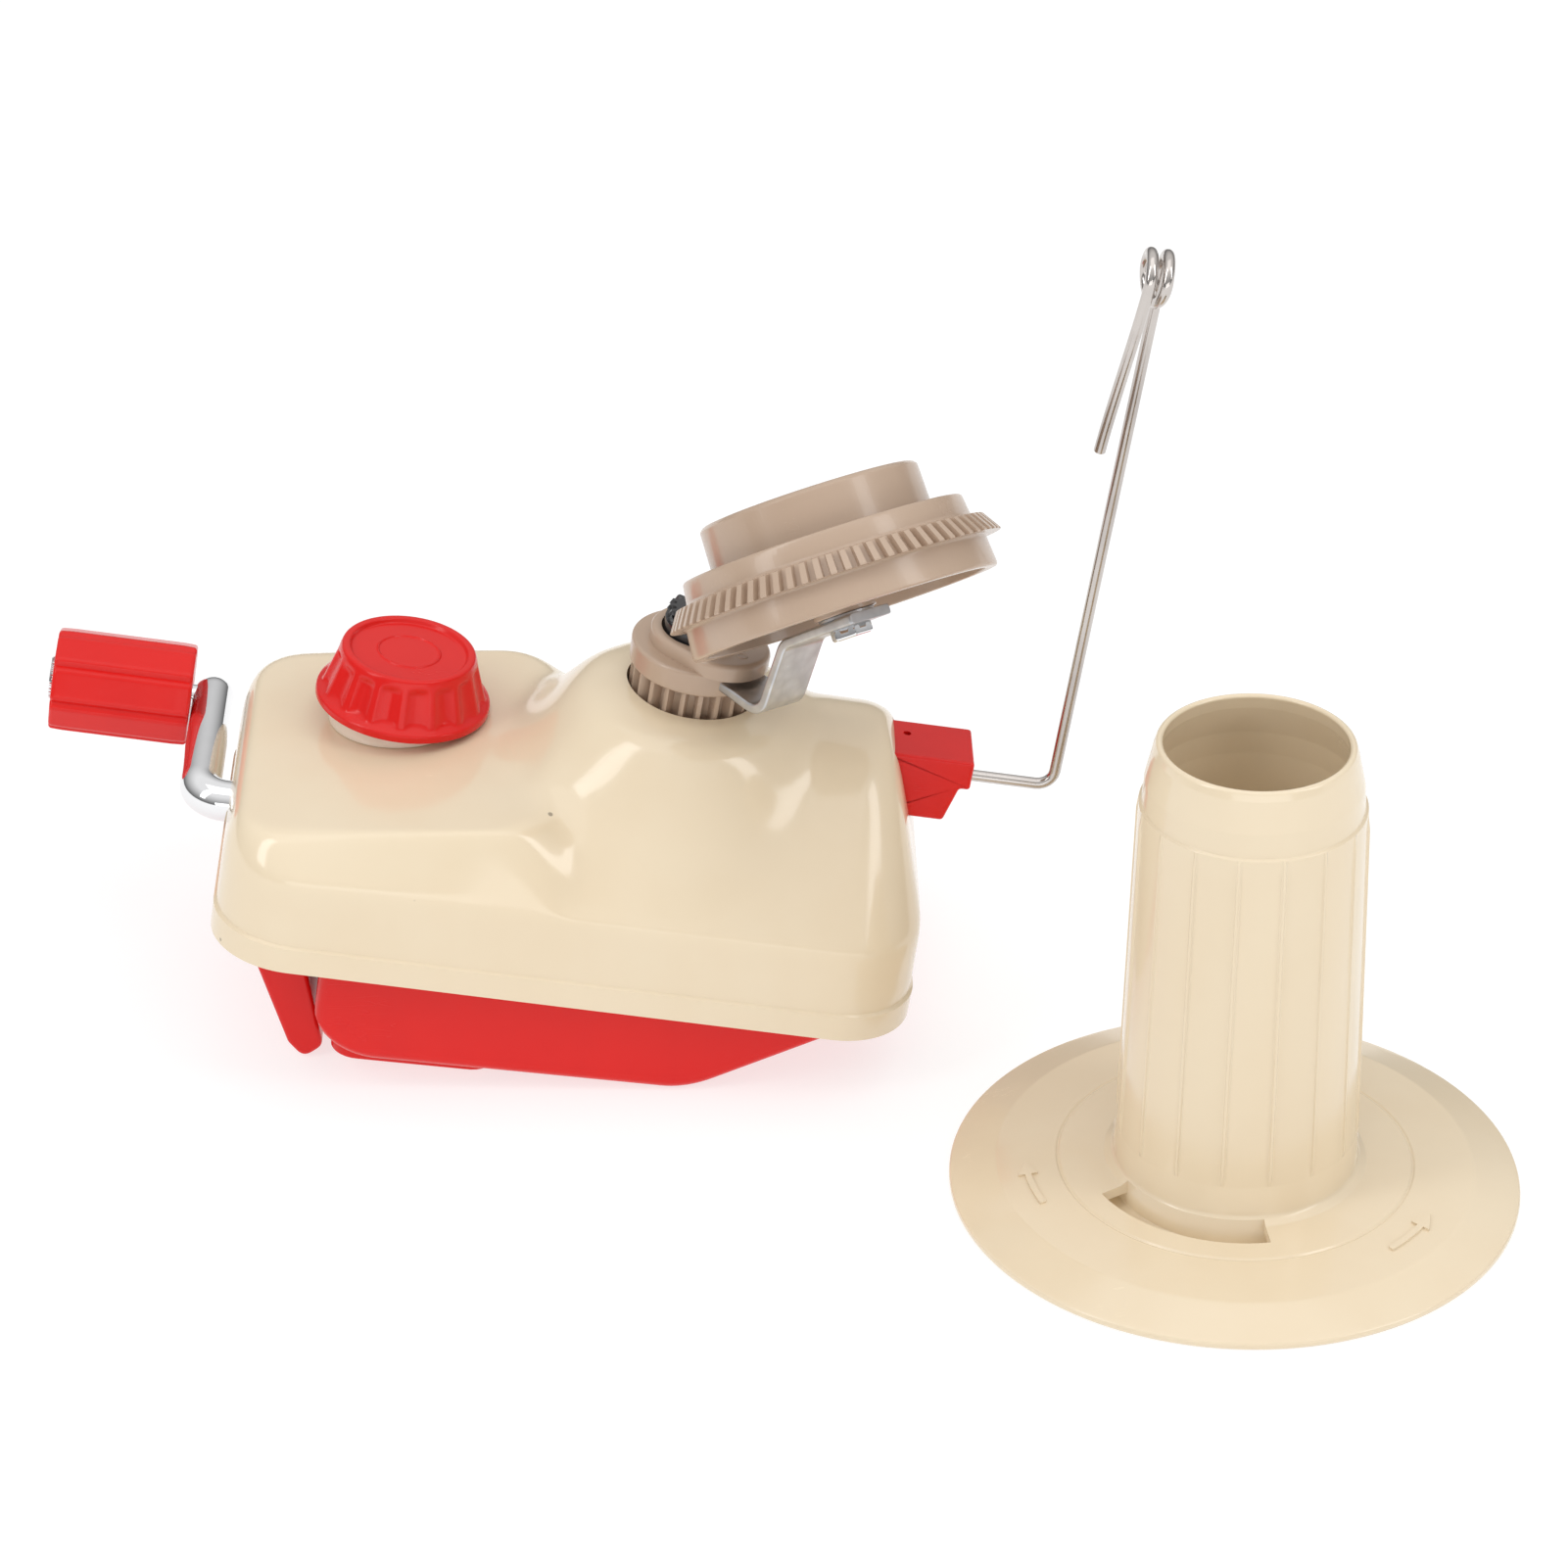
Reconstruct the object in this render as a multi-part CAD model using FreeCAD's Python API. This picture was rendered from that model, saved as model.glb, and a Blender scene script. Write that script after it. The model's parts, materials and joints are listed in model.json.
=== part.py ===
import FreeCAD, Part
import os
from math import atan2, cos, degrees, pi, radians, sin, sqrt, tan

# Hand-cranked yarn ball winder with its pull-off spool standing beside it.
# Machine pieces are drawn in the machine's own frame: x towards the yarn guide, y to the back,
# z square to the cover's rim, origin at the middle of the rim.  MACHINE_ROLL then leans the
# machine onto its heel and its tray's corner, as it stands when it isn't clamped to a table.

# ---- driving dimensions (mm, degrees) ----
MACHINE_ROLL = 9.0
MACHINE_YAW = 1.0
MACHINE_FROM_SPOOL = (-131.3, 67.6)

COVER_LENGTH, COVER_WIDTH, COVER_CORNER = 139.0, 86.0, 16.0
COVER_WALL = 2.2
LIP_HEIGHT, LIP_PROUD = 5.5, 0.5
WALL_TOP = 19.5
DECK_SLOPE = 9.0            # the deck lies level when the machine leans on its heel
DECK_LEFT_Z = 25.4
SPINDLE_X = 18.7
DOME_TOP, DOME_RING_R, DOME_LIP_TOP, DOME_HOLE_R = 49.0, 23.0, 51.0, 13.3
RIDGE_TOP = 48.0

TRAY_HALF_WIDTH = 38.0
TRAY_WALL = 2.2
PLATE_BOTTOM, PLATE_TOP = 0.4, 2.6
PLATE_HALF_LENGTH, PLATE_HALF_WIDTH, PLATE_CORNER = 66.6, 40.1, 13.6
HEEL_HALF_WIDTH = 24.5
SCREW_X, SCREW_Y, COVER_SCREW_R = 62.4, 31.0, 1.2

CRANK_Z = 11.0
CRANK_ARM = 40.0
CRANK_BAR_R, CRANK_SHAFT_R, CRANK_BEND_R = 4.2, 3.0, 5.5
CRANK_ARM_X = -75.2
BUSH_R, BUSH_FLANGE_R = 5.0, 6.5
CLIP_GROOVE_R = 2.4
GRIP_START, GRIP_END, GRIP_PIN_R = -79.6, -108.0, 2.3
GRIP_FLATS, GRIP_CORE_R, GRIP_LOBE_R, GRIP_LOBE_OUT = 8, 8.6, 4.6, 6.0

CROWN_TEETH, PINION_TEETH = 48, 23
PINION_PITCH_R = 11.9
SUN_TEETH, ROTOR_TEETH = 19, 73
ROTOR_CENTRE = (39.67, -24.95, 92.0)
ROTOR_TILT = 41.06
BRACKET_AZIMUTH = -49.96
APEX_FROM_ROTOR = 49.62
POST_R, POST_BOTTOM, POST_TOP = 3.0, -17.0, 72.1
SUN_COLLAR_R, SUN_BOTTOM_Z, SUN_TOP_Z = 7.7, 69.2, 71.6
GEAR_BOTTOM, GEAR_TOP = 24.0, 56.0
FLANGE_R, FLANGE_TOP, BOSS_TOP = 13.6, 61.0, 64.0
BOSS_R, BOSS_FAR_R, BOSS_FAR_OUT = 10.2, 9.0, 7.0
BRACKET_THICK, BRACKET_HALF_WIDTH, BRACKET_FOOT_Z = 2.0, 5.25, 58.6
BRACKET_WEB_OUT, BRACKET_TOP_BEND, BRACKET_TIP = 24.2, 14.8, 7.0
BEND_INNER_R = 3.0
RIVET_R, RIVET_ASIDE, RIVET_BOTTOM, RIVET_TOP = 1.2, 7.8, 48.5, 60.5
ROTOR_PIN_R = 2.5

KNOB_X, KNOB_Y = -37.4, 10.2
KNOB_SEAT_Z, KNOB_HEIGHT, KNOB_BASE_R, KNOB_TOP_R = 33.4, 12.0, 17.5, 13.5
KNOB_FLUTES = 16
STEM_R, STEM_HOLE_R, STEM_BOTTOM = 5.0, 6.2, -15.0
NUT_R, NUT_TOP = 3.9, -8.0
KNOB_CLIP_R, KNOB_CLIP_Z, CLIP_DEPTH = 6.0, -10.0, 0.6
JAW_TRAVEL = 28.0
SCREW_LEAD = 2.0
CLAMP_SCREW_R, CLAMP_SCREW_TOP = 2.5, NUT_TOP + JAW_TRAVEL + 6.0
GUIDE_ROD_R, GUIDE_ROD_Y = 2.5, -14.0
PAD_GAP, JAW_TOP, JAW_BOTTOM = 0.4, 1.2, 3.9   # distances below the tray when the clamp is shut

ARM_HALF_WIDTH, ARM_TOP, ARM_BOTTOM = 7.0, 45.3, 31.4
ARM_ROOT_X, ARM_END_X = 52.0, 76.0
ARM_SCREW_X, ARM_SCREW_R = 56.0, 1.2
WIRE_R, WIRE_X, WIRE_Y = 1.15, 92.4, -4.0
WIRE_ROOT_Z, WIRE_ELBOW_R = 41.0, 3.4
EYE_R, EYE_Z, EYE_TURN_GAP = 4.6, 155.4, 3.2
WIRE_TAIL_DROP = 36.0

SPOOL_R, SPOOL_HEIGHT = 55.0, 98.0
SPOOL_RIBS = 16

RUNNING_GAP = 0.05          # radial clearance of a shaft in its bush
V = FreeCAD.Vector
UP = V(0, 0, 1)


# ---- small helpers ----
def box(x0, x1, y0, y1, z0, z1):
    return Part.makeBox(x1 - x0, y1 - y0, z1 - z0, V(x0, y0, z0))


def rod(radius, start, end):
    start, end = V(*start), V(*end)
    return Part.makeCylinder(radius, (end - start).Length, start, end - start)


def tube(outer, inner, start, end):
    return rod(outer, start, end).cut(rod(inner, start, end))


def fuse(shapes):
    shapes = list(shapes)
    return shapes[0].multiFuse(shapes[1:]).removeSplitter() if len(shapes) > 1 else shapes[0]


def revolve(profile):
    """Turn a closed (radius, height) outline about the z axis."""
    wire = Part.makePolygon([V(r, 0, z) for r, z in profile + profile[:1]])
    return Part.Face(wire).revolve(V(0, 0, 0), UP, 360)


def at(shape, x, y, z):
    shape.translate(V(x, y, z))
    return shape


def extrude_xz(points, half_width):
    """Extrude an outline in the XZ plane across y, from -half_width to half_width."""
    wire = Part.makePolygon([V(x, -half_width, z) for x, z in points + points[:1]])
    return Part.Face(wire).extrude(V(0, 2 * half_width, 0))


def rounded_wire(x0, x1, half_width, corner, height):
    """Rounded rectangle whose height may change with x; corners are arcs laid on that plane."""
    def lift(x, y):
        return V(x, y, height(x))
    k = corner * (1 - sqrt(0.5))
    edges = []
    for a, b, mid, nxt in (
        ((x0 + corner, -half_width), (x1 - corner, -half_width),
         (x1 - k, -half_width + k), (x1, -half_width + corner)),
        ((x1, -half_width + corner), (x1, half_width - corner),
         (x1 - k, half_width - k), (x1 - corner, half_width)),
        ((x1 - corner, half_width), (x0 + corner, half_width),
         (x0 + k, half_width - k), (x0, half_width - corner)),
        ((x0, half_width - corner), (x0, -half_width + corner),
         (x0 + k, -half_width + k), (x0 + corner, -half_width)),
    ):
        edges.append(Part.LineSegment(lift(*a), lift(*b)).toShape())
        edges.append(Part.Arc(lift(*b), lift(*mid), lift(*nxt)).toShape())
    return Part.Wire(edges)


def rounded_plate(x0, x1, half_width, corner, z0, z1):
    face = Part.Face(rounded_wire(x0, x1, half_width, corner, lambda x: z0))
    return face.extrude(V(0, 0, z1 - z0))


def gear_outline(teeth, root_r, tip_r, z, phase, root_share=0.56, tip_share=0.27):
    """Straight-sided teeth: four points a tooth, with one tooth centred on the phase angle."""
    points = []
    for k in range(teeth):
        middle = phase + 2 * pi * k / teeth
        for radius, share in ((root_r, -root_share), (tip_r, -tip_share),
                              (tip_r, tip_share), (root_r, root_share)):
            angle = middle + share * pi / teeth
            points.append(V(radius * cos(angle), radius * sin(angle), z))
    return Part.makePolygon(points + points[:1])


def spur_gear(teeth, root_r, tip_r, z0, z1, phase):
    return Part.Face(gear_outline(teeth, root_r, tip_r, z0, phase)).extrude(V(0, 0, z1 - z0))


def bevel_gear(teeth, levels, phase):
    """Teeth between two levels, each given as (z, root radius, tip radius)."""
    wires = [gear_outline(teeth, root, tip, z, phase) for z, root, tip in levels]
    return Part.makeLoft(wires, True, True)


# ---- rotor axes ----
tilt, azimuth = radians(ROTOR_TILT), radians(BRACKET_AZIMUTH)
OUT = V(cos(azimuth), sin(azimuth), 0)          # from the spindle towards the bracket
SIDE = UP.cross(OUT)
ROTOR_AXIS = UP * cos(tilt) - OUT * sin(tilt)
ROTOR_CONE = atan2(sin(tilt), SUN_TEETH / ROTOR_TEETH + cos(tilt))
SUN_CONE = tilt - ROTOR_CONE
ROTOR_PITCH_R = APEX_FROM_ROTOR * tan(ROTOR_CONE)
rotor_centre = V(*ROTOR_CENTRE)
APEX_Z = (rotor_centre + ROTOR_AXIS * APEX_FROM_ROTOR).z
# The rotor's own frame: z along its axis, x towards its highest point.
ROTOR_FRAME = FreeCAD.Placement(
    rotor_centre, FreeCAD.Rotation(OUT * cos(tilt) + UP * sin(tilt), V(0, 0, 0), ROTOR_AXIS, "ZXY"))


def on_rotor(shape):
    shape.Placement = ROTOR_FRAME.multiply(shape.Placement)
    return shape


def spindle(radius, height, aside=0.0):
    """Point at a radius from the spindle along the bracket's direction."""
    return V(SPINDLE_X, 0, 0) + OUT * radius + SIDE * aside + UP * height


# ---- housing ----
def deck_height(x):
    return DECK_LEFT_Z + (x + COVER_LENGTH / 2 - 1) * tan(radians(DECK_SLOPE))


def cover_form(inset):
    """Outside of the cover, or with the wall as inset, its inside."""
    half, depth = COVER_LENGTH / 2 - inset, COVER_WIDTH / 2 - inset
    corner = COVER_CORNER - inset
    foot = -1.0 if inset else 0.0
    walls = rounded_plate(-half + LIP_PROUD, half - LIP_PROUD, depth - LIP_PROUD, corner,
                          foot, WALL_TOP)
    parts = [walls]
    if not inset:
        parts.append(rounded_plate(-half, half, depth, corner, 0, LIP_HEIGHT))

    def foot_wire(x0, x1):
        return rounded_wire(x0, x1, depth - LIP_PROUD, corner, lambda x: WALL_TOP - 0.1)
    deck = rounded_wire(-half + 1.5, -8 - inset, 36.5 - inset, 10.0, lambda x: deck_height(x) - inset)
    parts.append(Part.makeLoft([foot_wire(-half + LIP_PROUD, 10 - inset), deck], True, True))
    ridge = rounded_wire(0 + inset, 59.5 - inset, 11.0 - inset, 6.0, lambda x: RIDGE_TOP - inset)
    parts.append(Part.makeLoft([foot_wire(-20 + inset, half - LIP_PROUD), ridge], True, True))
    ring = Part.Wire(Part.Circle(V(SPINDLE_X, 0, DOME_TOP - inset), UP, DOME_RING_R - inset).toShape())
    skirt = Part.Wire(Part.Circle(V(SPINDLE_X, 0, WALL_TOP - 0.1), UP, depth - LIP_PROUD - 1).toShape())
    parts.append(Part.makeLoft([skirt, ring], True, True))
    top = DOME_LIP_TOP - inset
    parts.append(at(Part.makeCone(DOME_RING_R - inset, 15.3, top - DOME_TOP + inset),
                    SPINDLE_X, 0, DOME_TOP - inset))
    return fuse(parts)


def make_top_cover():
    shell = cover_form(0).cut(cover_form(COVER_WALL))
    shell = shell.cut(rod(DOME_HOLE_R, (SPINDLE_X, 0, 30), (SPINDLE_X, 0, 60)))
    shell = shell.cut(rod(STEM_HOLE_R, (KNOB_X, KNOB_Y, 20), (KNOB_X, KNOB_Y, 40)))
    shell = shell.cut(rod(5.4, (-75, 0, CRANK_Z), (-60, 0, CRANK_Z)))
    slot = box(ARM_ROOT_X - 2, 75, -ARM_HALF_WIDTH - 0.2, ARM_HALF_WIDTH + 0.2,
               ARM_BOTTOM - 0.2, ARM_TOP + 0.2)
    shell = shell.cut(slot)
    outside = cover_form(0)
    posts = [rod(3.4, (x, y, PLATE_TOP), (x, y, DOME_TOP)).common(outside) for x, y in screw_places()]
    shell = fuse([shell] + posts)
    return shell.cut(fuse(rod(COVER_SCREW_R, (x, y, 0), (x, y, 14.0)) for x, y in screw_places()))


def screw_places():
    return [(sx * SCREW_X, sy * SCREW_Y) for sx in (-1, 1) for sy in (-1, 1)]


def tray_outline(inset=0.0):
    """Side view of the tray: upright rounded left end, nearly flat bottom, sloping right end."""
    left, floor = -46.0 + inset, inset
    bend = [(-36.0 + (left + 36.0) * cos(a), -11.0 + (floor - 10.6) * sin(a))
            for a in [radians(15.0 * k) for k in range(7)]]
    slope = inset / cos(radians(32.0)) + inset * tan(radians(32.0))
    return ([(left, PLATE_TOP if inset else PLATE_BOTTOM)] + bend
            + [(26.0, -19.85 + floor), (29.0, -18.95 + floor),
               (59.6 - slope, PLATE_BOTTOM if not inset else PLATE_TOP + 2)])


def tray_floor(x):
    """Height of the tray's underside where the table is clamped."""
    return -21.6 + (x + 36.0) * 1.75 / 62.0


def make_base_housing():
    plate = rounded_plate(-PLATE_HALF_LENGTH, PLATE_HALF_LENGTH, PLATE_HALF_WIDTH, PLATE_CORNER,
                          PLATE_BOTTOM, PLATE_TOP)
    tray = extrude_xz(tray_outline(), TRAY_HALF_WIDTH)
    hollow = extrude_xz(tray_outline(TRAY_WALL), TRAY_HALF_WIDTH - TRAY_WALL)
    roof = box(-60, -27, -TRAY_HALF_WIDTH, TRAY_HALF_WIDTH, PLATE_BOTTOM, PLATE_TOP + 3)
    body = fuse([plate, tray]).cut(hollow.cut(roof))
    heel = extrude_xz([(-65.0, PLATE_TOP), (-65.0, 0.0), (-51.4, -28.6), (-49.9, -31.0), (-47.9, -31.6),
                       (-45.6, -30.7), (-44.5, -28.2), (-48.6, -14.5), (-52.8, PLATE_TOP)],
                      HEEL_HALF_WIDTH)
    towers = [box(-64, -59, -7.5, 7.5, PLATE_BOTTOM, 19), box(-9, -5, -7.5, 7.5, -20.0, 19)]
    post_boss = rod(6.0, (SPINDLE_X, 0, -19.5), (SPINDLE_X, 0, 23.0))
    sleeve = rod(STEM_R + 1.8, (KNOB_X, KNOB_Y, -9.0), (KNOB_X, KNOB_Y, 15.0))
    guide = rod(4.6, (KNOB_X, GUIDE_ROD_Y, -20.5), (KNOB_X, GUIDE_ROD_Y, 8.0))
    ribs = [box(KNOB_X - 1, KNOB_X + 1, GUIDE_ROD_Y, 4.0, PLATE_TOP - 0.1, 6.0)]
    body = fuse([body, heel, post_boss, sleeve, guide] + towers + ribs)
    bores = [rod(POST_R, (SPINDLE_X, 0, POST_BOTTOM), (SPINDLE_X, 0, 30)),
             rod(STEM_R + RUNNING_GAP, (KNOB_X, KNOB_Y, -10), (KNOB_X, KNOB_Y, 20)),
             rod(CLAMP_SCREW_R + 0.8, (KNOB_X, KNOB_Y, -30), (KNOB_X, KNOB_Y, -15)),
             rod(GUIDE_ROD_R + RUNNING_GAP, (KNOB_X, GUIDE_ROD_Y, -30), (KNOB_X, GUIDE_ROD_Y, 10)),
             rod(BUSH_R, (-65, 0, CRANK_Z), (-58, 0, CRANK_Z)),
             rod(BUSH_R, (-10, 0, CRANK_Z), (-4, 0, CRANK_Z))]
    bores += [rod(1.7, (x, y, 0), (x, y, 3)) for x, y in screw_places()]
    return fuse([body]).cut(fuse(bores))


def make_cover_screws():
    screws = []
    for x, y in screw_places():
        head = at(Part.makeCone(3.0, 2.2, 1.4), x, y, PLATE_BOTTOM - 1.4)
        slot = box(x - 3.2, x + 3.2, y - 0.4, y + 0.4, PLATE_BOTTOM - 1.5, PLATE_BOTTOM - 0.7)
        shank = rod(COVER_SCREW_R, (x, y, PLATE_BOTTOM - 0.1), (x, y, 13.0))
        screws.append(fuse([head, shank]).cut(slot))
    return Part.makeCompound(screws)


def make_bush(x0, x1, flange_at):
    """Flanged nylon bush for the crank's shaft."""
    sleeve = tube(BUSH_R, CRANK_SHAFT_R + RUNNING_GAP, (x0, 0, CRANK_Z), (x1, 0, CRANK_Z))
    flange = tube(BUSH_FLANGE_R, CRANK_SHAFT_R + RUNNING_GAP, (flange_at, 0, CRANK_Z),
                  (flange_at + 1, 0, CRANK_Z))
    return fuse([sleeve, flange])


def make_knob_washer():
    """Clear dished washer that levels the knob's seat on the deck."""
    deck = deck_height(KNOB_X)
    ring = rod(15.5, (KNOB_X, KNOB_Y, deck - 4), (KNOB_X, KNOB_Y, KNOB_SEAT_Z - 0.3))
    below = extrude_xz([(-70, deck_height(-70) + 0.05), (0, deck_height(0) + 0.05), (0, 0), (-70, 0)], 60)
    return ring.cut(below).cut(rod(STEM_HOLE_R, (KNOB_X, KNOB_Y, 20), (KNOB_X, KNOB_Y, 40)))


# ---- clamp ----
def make_clamp_knob():
    cone = revolve([(0, 0), (KNOB_BASE_R, 0), (KNOB_BASE_R, 2.0), (KNOB_BASE_R - 1.2, 2.4),
                    (KNOB_TOP_R, KNOB_HEIGHT), (KNOB_TOP_R - 1.4, KNOB_HEIGHT),
                    (KNOB_TOP_R - 1.8, KNOB_HEIGHT - 0.9), (6.6, KNOB_HEIGHT - 0.9),
                    (6.4, KNOB_HEIGHT - 0.5), (6.0, KNOB_HEIGHT - 0.9), (0, KNOB_HEIGHT - 0.9)])
    flutes = []
    for k in range(KNOB_FLUTES):
        a = 2 * pi * k / KNOB_FLUTES
        flutes.append(rod(1.3, ((KNOB_BASE_R + 0.1) * cos(a), (KNOB_BASE_R + 0.1) * sin(a), 2.4),
                          ((KNOB_TOP_R + 0.5) * cos(a), (KNOB_TOP_R + 0.5) * sin(a), KNOB_HEIGHT + 0.6)))
    cone = at(cone.cut(fuse(flutes)), KNOB_X, KNOB_Y, KNOB_SEAT_Z)
    stem = rod(STEM_R, (KNOB_X, KNOB_Y, STEM_BOTTOM), (KNOB_X, KNOB_Y, KNOB_SEAT_Z + 0.5))
    groove = tube(STEM_R + 1, STEM_R - CLIP_DEPTH, (KNOB_X, KNOB_Y, KNOB_CLIP_Z - 0.6),
                  (KNOB_X, KNOB_Y, KNOB_CLIP_Z + 0.6))
    knob = fuse([cone, stem]).cut(groove)
    knob = knob.cut(rod(CLAMP_SCREW_R + 0.5, (KNOB_X, KNOB_Y, STEM_BOTTOM - 1), (KNOB_X, KNOB_Y, 30)))
    return knob.cut(rod(NUT_R, (KNOB_X, KNOB_Y, STEM_BOTTOM - 1), (KNOB_X, KNOB_Y, NUT_TOP)))


def make_clamp_nut():
    """Brass nut pressed into the stem; its thread is drawn as a plain bore."""
    return tube(NUT_R, CLAMP_SCREW_R + RUNNING_GAP, (KNOB_X, KNOB_Y, STEM_BOTTOM),
                (KNOB_X, KNOB_Y, NUT_TOP))


def make_knob_circlip():
    ring = tube(KNOB_CLIP_R, STEM_R - CLIP_DEPTH, (KNOB_X, KNOB_Y, KNOB_CLIP_Z - 0.4),
                (KNOB_X, KNOB_Y, KNOB_CLIP_Z + 0.4))
    return ring.cut(box(KNOB_X - 9, KNOB_X - 3, KNOB_Y - 1.5, KNOB_Y + 1.5, -11, -9))


def jaw_slab(top_gap, bottom_gap, x0, x1, half_width):
    """Slab parallel to the tray's underside, between two distances below it."""
    return extrude_xz([(x0, tray_floor(x0) - bottom_gap), (x1, tray_floor(x1) - bottom_gap),
                       (x1, tray_floor(x1) - top_gap), (x0, tray_floor(x0) - top_gap)], half_width)


def make_clamp_jaw():
    slab = jaw_slab(JAW_TOP, JAW_BOTTOM, -43.0, -10.0, 32.0)
    corners = rounded_plate(-43.0, -10.0, 32.0, 5.0, -40, 0)
    return slab.common(corners).cut(rod(CLAMP_SCREW_R, (KNOB_X, KNOB_Y, -40), (KNOB_X, KNOB_Y, 0))).cut(
        rod(GUIDE_ROD_R, (KNOB_X, GUIDE_ROD_Y, -40), (KNOB_X, GUIDE_ROD_Y, 0)))


def make_jaw_pad():
    return jaw_slab(PAD_GAP, JAW_TOP, -30.0, -11.0, 30.0)


def make_clamp_screw():
    bottom = tray_floor(KNOB_X) - JAW_BOTTOM
    head = Part.makeCylinder(4.6, 2.4, V(KNOB_X, KNOB_Y, bottom - 2.6))
    return fuse([rod(CLAMP_SCREW_R, (KNOB_X, KNOB_Y, bottom - 1), (KNOB_X, KNOB_Y, CLAMP_SCREW_TOP)), head])


def make_jaw_guide_rod():
    bottom = tray_floor(KNOB_X) - JAW_BOTTOM
    return rod(GUIDE_ROD_R, (KNOB_X, GUIDE_ROD_Y, bottom), (KNOB_X, GUIDE_ROD_Y, 14))


# ---- crank ----
def make_crank():
    """Round bar bent once: shaft through the end wall, then the arm out to the grip's pin."""
    bend, x = CRANK_BEND_R, CRANK_ARM_X
    k = bend * (1 - sqrt(0.5))
    start, elbow_in, elbow_out = V(-58.0, 0, CRANK_Z), V(x + bend, 0, CRANK_Z), V(x, bend, CRANK_Z)
    path = Part.Wire([Part.LineSegment(start, elbow_in).toShape(),
                      Part.Arc(elbow_in, V(x + k, k, CRANK_Z), elbow_out).toShape(),
                      Part.LineSegment(elbow_out, V(x, CRANK_ARM, CRANK_Z)).toShape()])
    section = Part.Wire(Part.Circle(start, V(1, 0, 0), CRANK_BAR_R).toShape())
    bar = path.makePipeShell([section], True, True)
    end = Part.makeSphere(CRANK_BAR_R, V(x, CRANK_ARM, CRANK_Z))
    bar = fuse([bar, end]).cut(box(-64.2, -50, -10, 10, 0, 20))
    shaft = rod(CRANK_SHAFT_R, (-64.3, 0, CRANK_Z), (9.5, 0, CRANK_Z))
    groove = tube(4.0, CLIP_GROOVE_R, (8.0, 0, CRANK_Z), (8.9, 0, CRANK_Z))
    pin_hole = rod(GRIP_PIN_R, (x - 10, CRANK_ARM, CRANK_Z), (x + 10, CRANK_ARM, CRANK_Z))
    return fuse([bar, shaft]).cut(groove).cut(pin_hole)


def make_grip_pin():
    shank = rod(GRIP_PIN_R, (CRANK_ARM_X + 3.0, CRANK_ARM, CRANK_Z), (GRIP_END + 0.2, CRANK_ARM, CRANK_Z))
    head = rod(4.4, (GRIP_END + 0.2, CRANK_ARM, CRANK_Z), (GRIP_END - 0.8, CRANK_ARM, CRANK_Z))
    return fuse([shank, head])


def make_crank_grip():
    """Straight grip with eight shallow lobes, bored for its pin and recessed for the pin's head."""
    lobes = []
    for k in range(GRIP_FLATS):
        a = 2 * pi * k / GRIP_FLATS
        middle = V(GRIP_START, CRANK_ARM + GRIP_LOBE_OUT * cos(a), CRANK_Z + GRIP_LOBE_OUT * sin(a))
        lobes.append(Part.makeCylinder(GRIP_LOBE_R, GRIP_START - GRIP_END, middle, V(-1, 0, 0)))
    core = rod(GRIP_CORE_R, (GRIP_START, CRANK_ARM, CRANK_Z), (GRIP_END, CRANK_ARM, CRANK_Z))
    bore = rod(GRIP_PIN_R + RUNNING_GAP, (GRIP_START + 1, CRANK_ARM, CRANK_Z),
               (GRIP_END - 1, CRANK_ARM, CRANK_Z))
    recess = rod(5.2, (GRIP_END + 0.6, CRANK_ARM, CRANK_Z), (GRIP_END - 1, CRANK_ARM, CRANK_Z))
    return fuse([core] + lobes).cut(bore).cut(recess)


def make_crown_gear():
    """Face gear on the crank's shaft; its radial teeth stand towards the drive gear."""
    pitch_x = SPINDLE_X - PINION_PITCH_R
    module = 2 * PINION_PITCH_R / PINION_TEETH
    middle_r = CROWN_TEETH * module / 2
    root_x, tip_x = pitch_x - 1.25 * module, pitch_x + 0.85 * module
    disc = rod(middle_r + 2.0, (2.6, 0, CRANK_Z), (root_x, 0, CRANK_Z))
    hub = rod(7.0, (-4.0 + 1.2, 0, CRANK_Z), (root_x, 0, CRANK_Z))
    teeth = []
    pitch = pi * module
    for k in range(CROWN_TEETH):
        outline = [V(root_x - 0.2, -0.30 * pitch, middle_r - 1.5), V(tip_x, -0.135 * pitch, middle_r - 1.5),
                   V(tip_x, 0.135 * pitch, middle_r - 1.5), V(root_x - 0.2, 0.30 * pitch, middle_r - 1.5)]
        tooth = Part.Face(Part.makePolygon(outline + outline[:1])).extrude(V(0, 0, 3.0))
        tooth.rotate(V(0, 0, 0), V(1, 0, 0), 360.0 * (k + 0.5) / CROWN_TEETH)
        teeth.append(at(tooth, 0, 0, CRANK_Z))
    holes = [Part.makeCylinder(4.5, 6, V(0, 15 * cos(2 * pi * k / 5), CRANK_Z + 15 * sin(2 * pi * k / 5)),
                               V(1, 0, 0)) for k in range(5)]
    gear = fuse([disc, hub]).cut(fuse(holes))
    return fuse([gear] + teeth).cut(rod(CRANK_SHAFT_R, (-5, 0, CRANK_Z), (10, 0, CRANK_Z)))


def make_crank_clip():
    ring = tube(5.0, CLIP_GROOVE_R, (8.1, 0, CRANK_Z), (8.8, 0, CRANK_Z))
    return ring.cut(box(8, 9, -1.2, 1.2, CRANK_Z - 6, CRANK_Z - 2))


# ---- drive column ----
def make_centre_post():
    return rod(POST_R, (SPINDLE_X, 0, POST_BOTTOM), (SPINDLE_X, 0, POST_TOP))


def make_thrust_washer():
    return tube(6.5, POST_R, (SPINDLE_X, 0, 23.0), (SPINDLE_X, 0, 23.8))


def rivet_holes(bottom, top):
    return [Part.makeCylinder(RIVET_R, top - bottom, spindle(0, bottom, side))
            for side in (-RIVET_ASIDE, RIVET_ASIDE)]


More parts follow.
